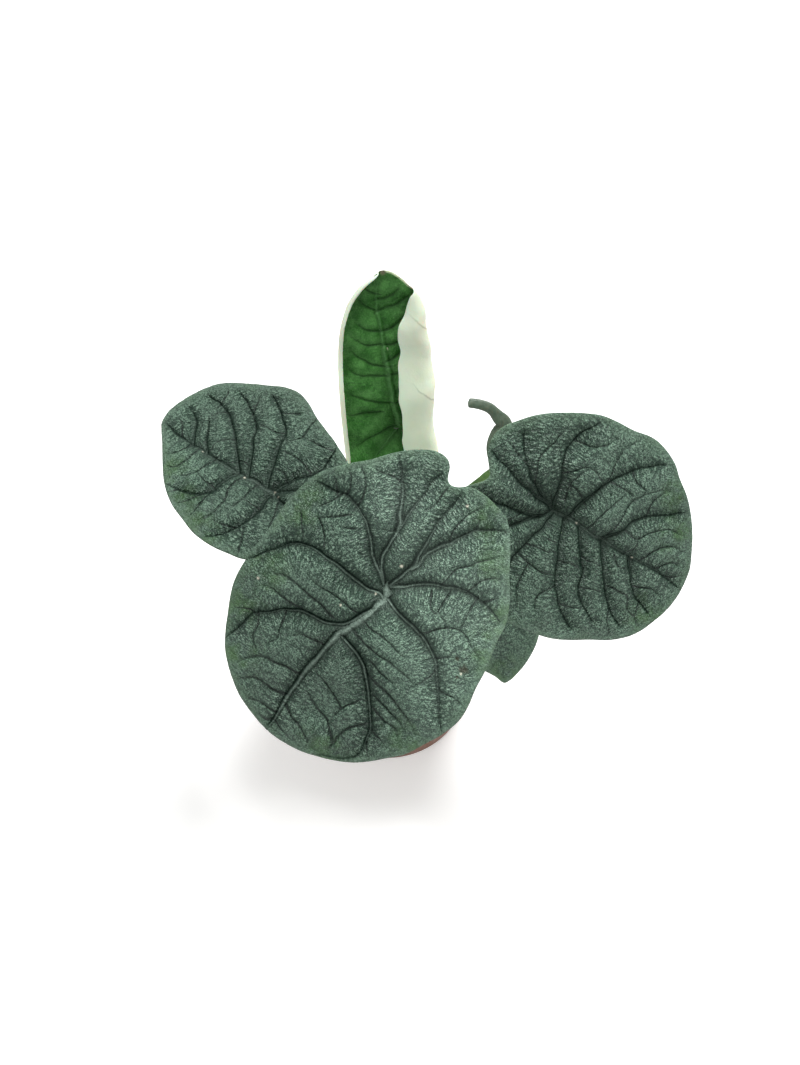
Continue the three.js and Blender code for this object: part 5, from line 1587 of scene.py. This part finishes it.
def soil_material():
    m = Nodes("potting_mix")
    place = m.place()
    crumbs = m.noise(place, 0.55, 6, 0.7)
    colour = m.mottled(crumbs, (0.012, 0.008, 0.005), (0.055, 0.034, 0.020))
    fibre = m.noise(m.place((1400, 350, 1000)), 0.6, 4, 0.6)
    colour = m.mix(m.range(fibre, 0.6, 0.72, 0, 0.8), colour, (0.115, 0.070, 0.038))
    normal = m.bump(m.plus(crumbs, m.cells(place, 0.5)), 0.0009)
    return m.finish(colour, 0.92, normal, Specular_IOR_Level=0.2)


def bark_material():
    m = Nodes("bark_bits")
    place = m.place()
    patches = m.range(m.noise(place, 0.2, 3), 0.4, 0.6)
    colour = m.mix(patches, (0.075, 0.040, 0.020), (0.16, 0.095, 0.05))
    normal = m.bump(m.noise(place, 1.2, 4, 0.7), 0.0005)
    return m.finish(colour, 0.85, normal, Specular_IOR_Level=0.25)


def perlite_material():
    m = Nodes("perlite_bits")
    place = m.place()
    colour = m.mottled(m.noise(place, 0.5, 3), (0.62, 0.60, 0.55), (0.80, 0.79, 0.75))
    normal = m.bump(m.cells(place, 1.1), 0.0004)
    return m.finish(colour, 0.8, normal, Specular_IOR_Level=0.3)


def crown_material():
    m = Nodes("crown_tissue")
    place = m.place((1000, 1000, 3000))
    rings = m.noise(place, 0.35, 4, 0.6)
    colour = m.mix(m.range(rings, 0.38, 0.62), (0.060, 0.040, 0.018), (0.150, 0.120, 0.055))
    normal = m.bump(rings, 0.0008)
    return m.finish(colour, 0.8, normal, Specular_IOR_Level=0.3)


def floor_material():
    m = Nodes("pale_floor")
    place = m.place((1, 1, 1))
    colour = m.mix(m.noise(place, 3.0, 2), (0.90, 0.90, 0.895), (0.92, 0.92, 0.915))
    return m.finish(colour, 0.7, Specular_IOR_Level=0.2, Emission_Strength=0.3)


# ---- stage ----

CAMERA_PLACE = (0.007057, -0.309590, 0.498508)
CAMERA_LOOKS_DOWN = 50
CAMERA_LENS = 37
CAMERA_SENSOR = 36
FLOOR_HALF = 3.0
WORLD_STRENGTH = 0.56
LIGHT_TARGET = (0, 0, 0.14)
KEY_LIGHT = {"place": (0.2, 0.3, 1.2), "size": 0.5, "power": 19}
FILL_LIGHT = {"place": (-0.6, -0.7, 0.9), "size": 0.9, "power": 2.0}


def make_camera():
    """The camera looks down on the plant's front."""
    elevation = math.radians(CAMERA_LOOKS_DOWN)
    back = Vector((0, -math.cos(elevation), math.sin(elevation)))
    up = Vector((0, math.sin(elevation), math.cos(elevation)))
    right = Vector((1, 0, 0))
    data = bpy.data.cameras.new("camera")
    data.lens = CAMERA_LENS
    data.sensor_width = CAMERA_SENSOR
    data.clip_start = 0.01
    camera = bpy.data.objects.new("camera", data)
    axes = Matrix((right, up, back)).transposed().to_4x4()
    camera.matrix_world = Matrix.Translation(CAMERA_PLACE) @ axes
    bpy.context.scene.collection.objects.link(camera)
    bpy.context.scene.camera = camera


def make_light(name, place, size, power):
    """A round soft lamp, its size in metres and its power in watts."""
    data = bpy.data.lights.new(name, "AREA")
    data.shape = "DISK"
    data.size = size
    data.energy = power
    light = bpy.data.objects.new(name, data)
    light.location = place
    way = Vector(LIGHT_TARGET) - Vector(place)
    light.rotation_euler = way.to_track_quat("-Z", "Y").to_euler()
    bpy.context.scene.collection.objects.link(light)


def make_stage():
    """A pale floor, an even white surround and two soft lamps."""
    corners = np.array([(-1, -1, 0), (1, -1, 0), (1, 1, 0), (-1, 1, 0)]) * FLOOR_HALF / MM
    floor = make_mesh("floor", corners, [np.array([[0, 1, 2, 3]])])
    floor.data.materials.append(floor_material())
    world = bpy.data.worlds.new("studio")
    world.use_nodes = True
    surround = world.node_tree.nodes["Background"]
    surround.inputs["Color"].default_value = (1, 1, 1, 1)
    surround.inputs["Strength"].default_value = WORLD_STRENGTH
    bpy.context.scene.world = world
    make_light("key", **KEY_LIGHT)
    make_light("fill", **FILL_LIGHT)
    bpy.context.scene.view_settings.view_transform = "Standard"


# ---- the plant ----

def main():
    """Makes the stage, then every piece with its body, the CAD piece it replaces and its look."""
    make_camera()
    make_stage()
    upper, under = blade_material(), under_material()
    young_upper, young_under = young_material(), young_under_material()
    for leaf in LEAVES:
        piece = make_blade(leaf)
        young = leaf is YOUNG
        piece.data.materials.append(young_upper if young else upper)
        piece.data.materials.append(young_under if young else under)
        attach(piece, "root")
        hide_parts(leaf["name"])
    stalk = stalk_material()
    for piece in make_stalks().values():
        piece.data.materials.append(stalk)
    make_pot().data.materials.append(pot_material())
    make_soil().data.materials.append(soil_material())
    scatter("bark_chips", **BARK).data.materials.append(bark_material())
    scatter("perlite_beads", **PERLITE).data.materials.append(perlite_material())
    crown = crown_material()
    make_crown().data.materials.append(crown)
    make_sheaths().data.materials.append(crown)


main()
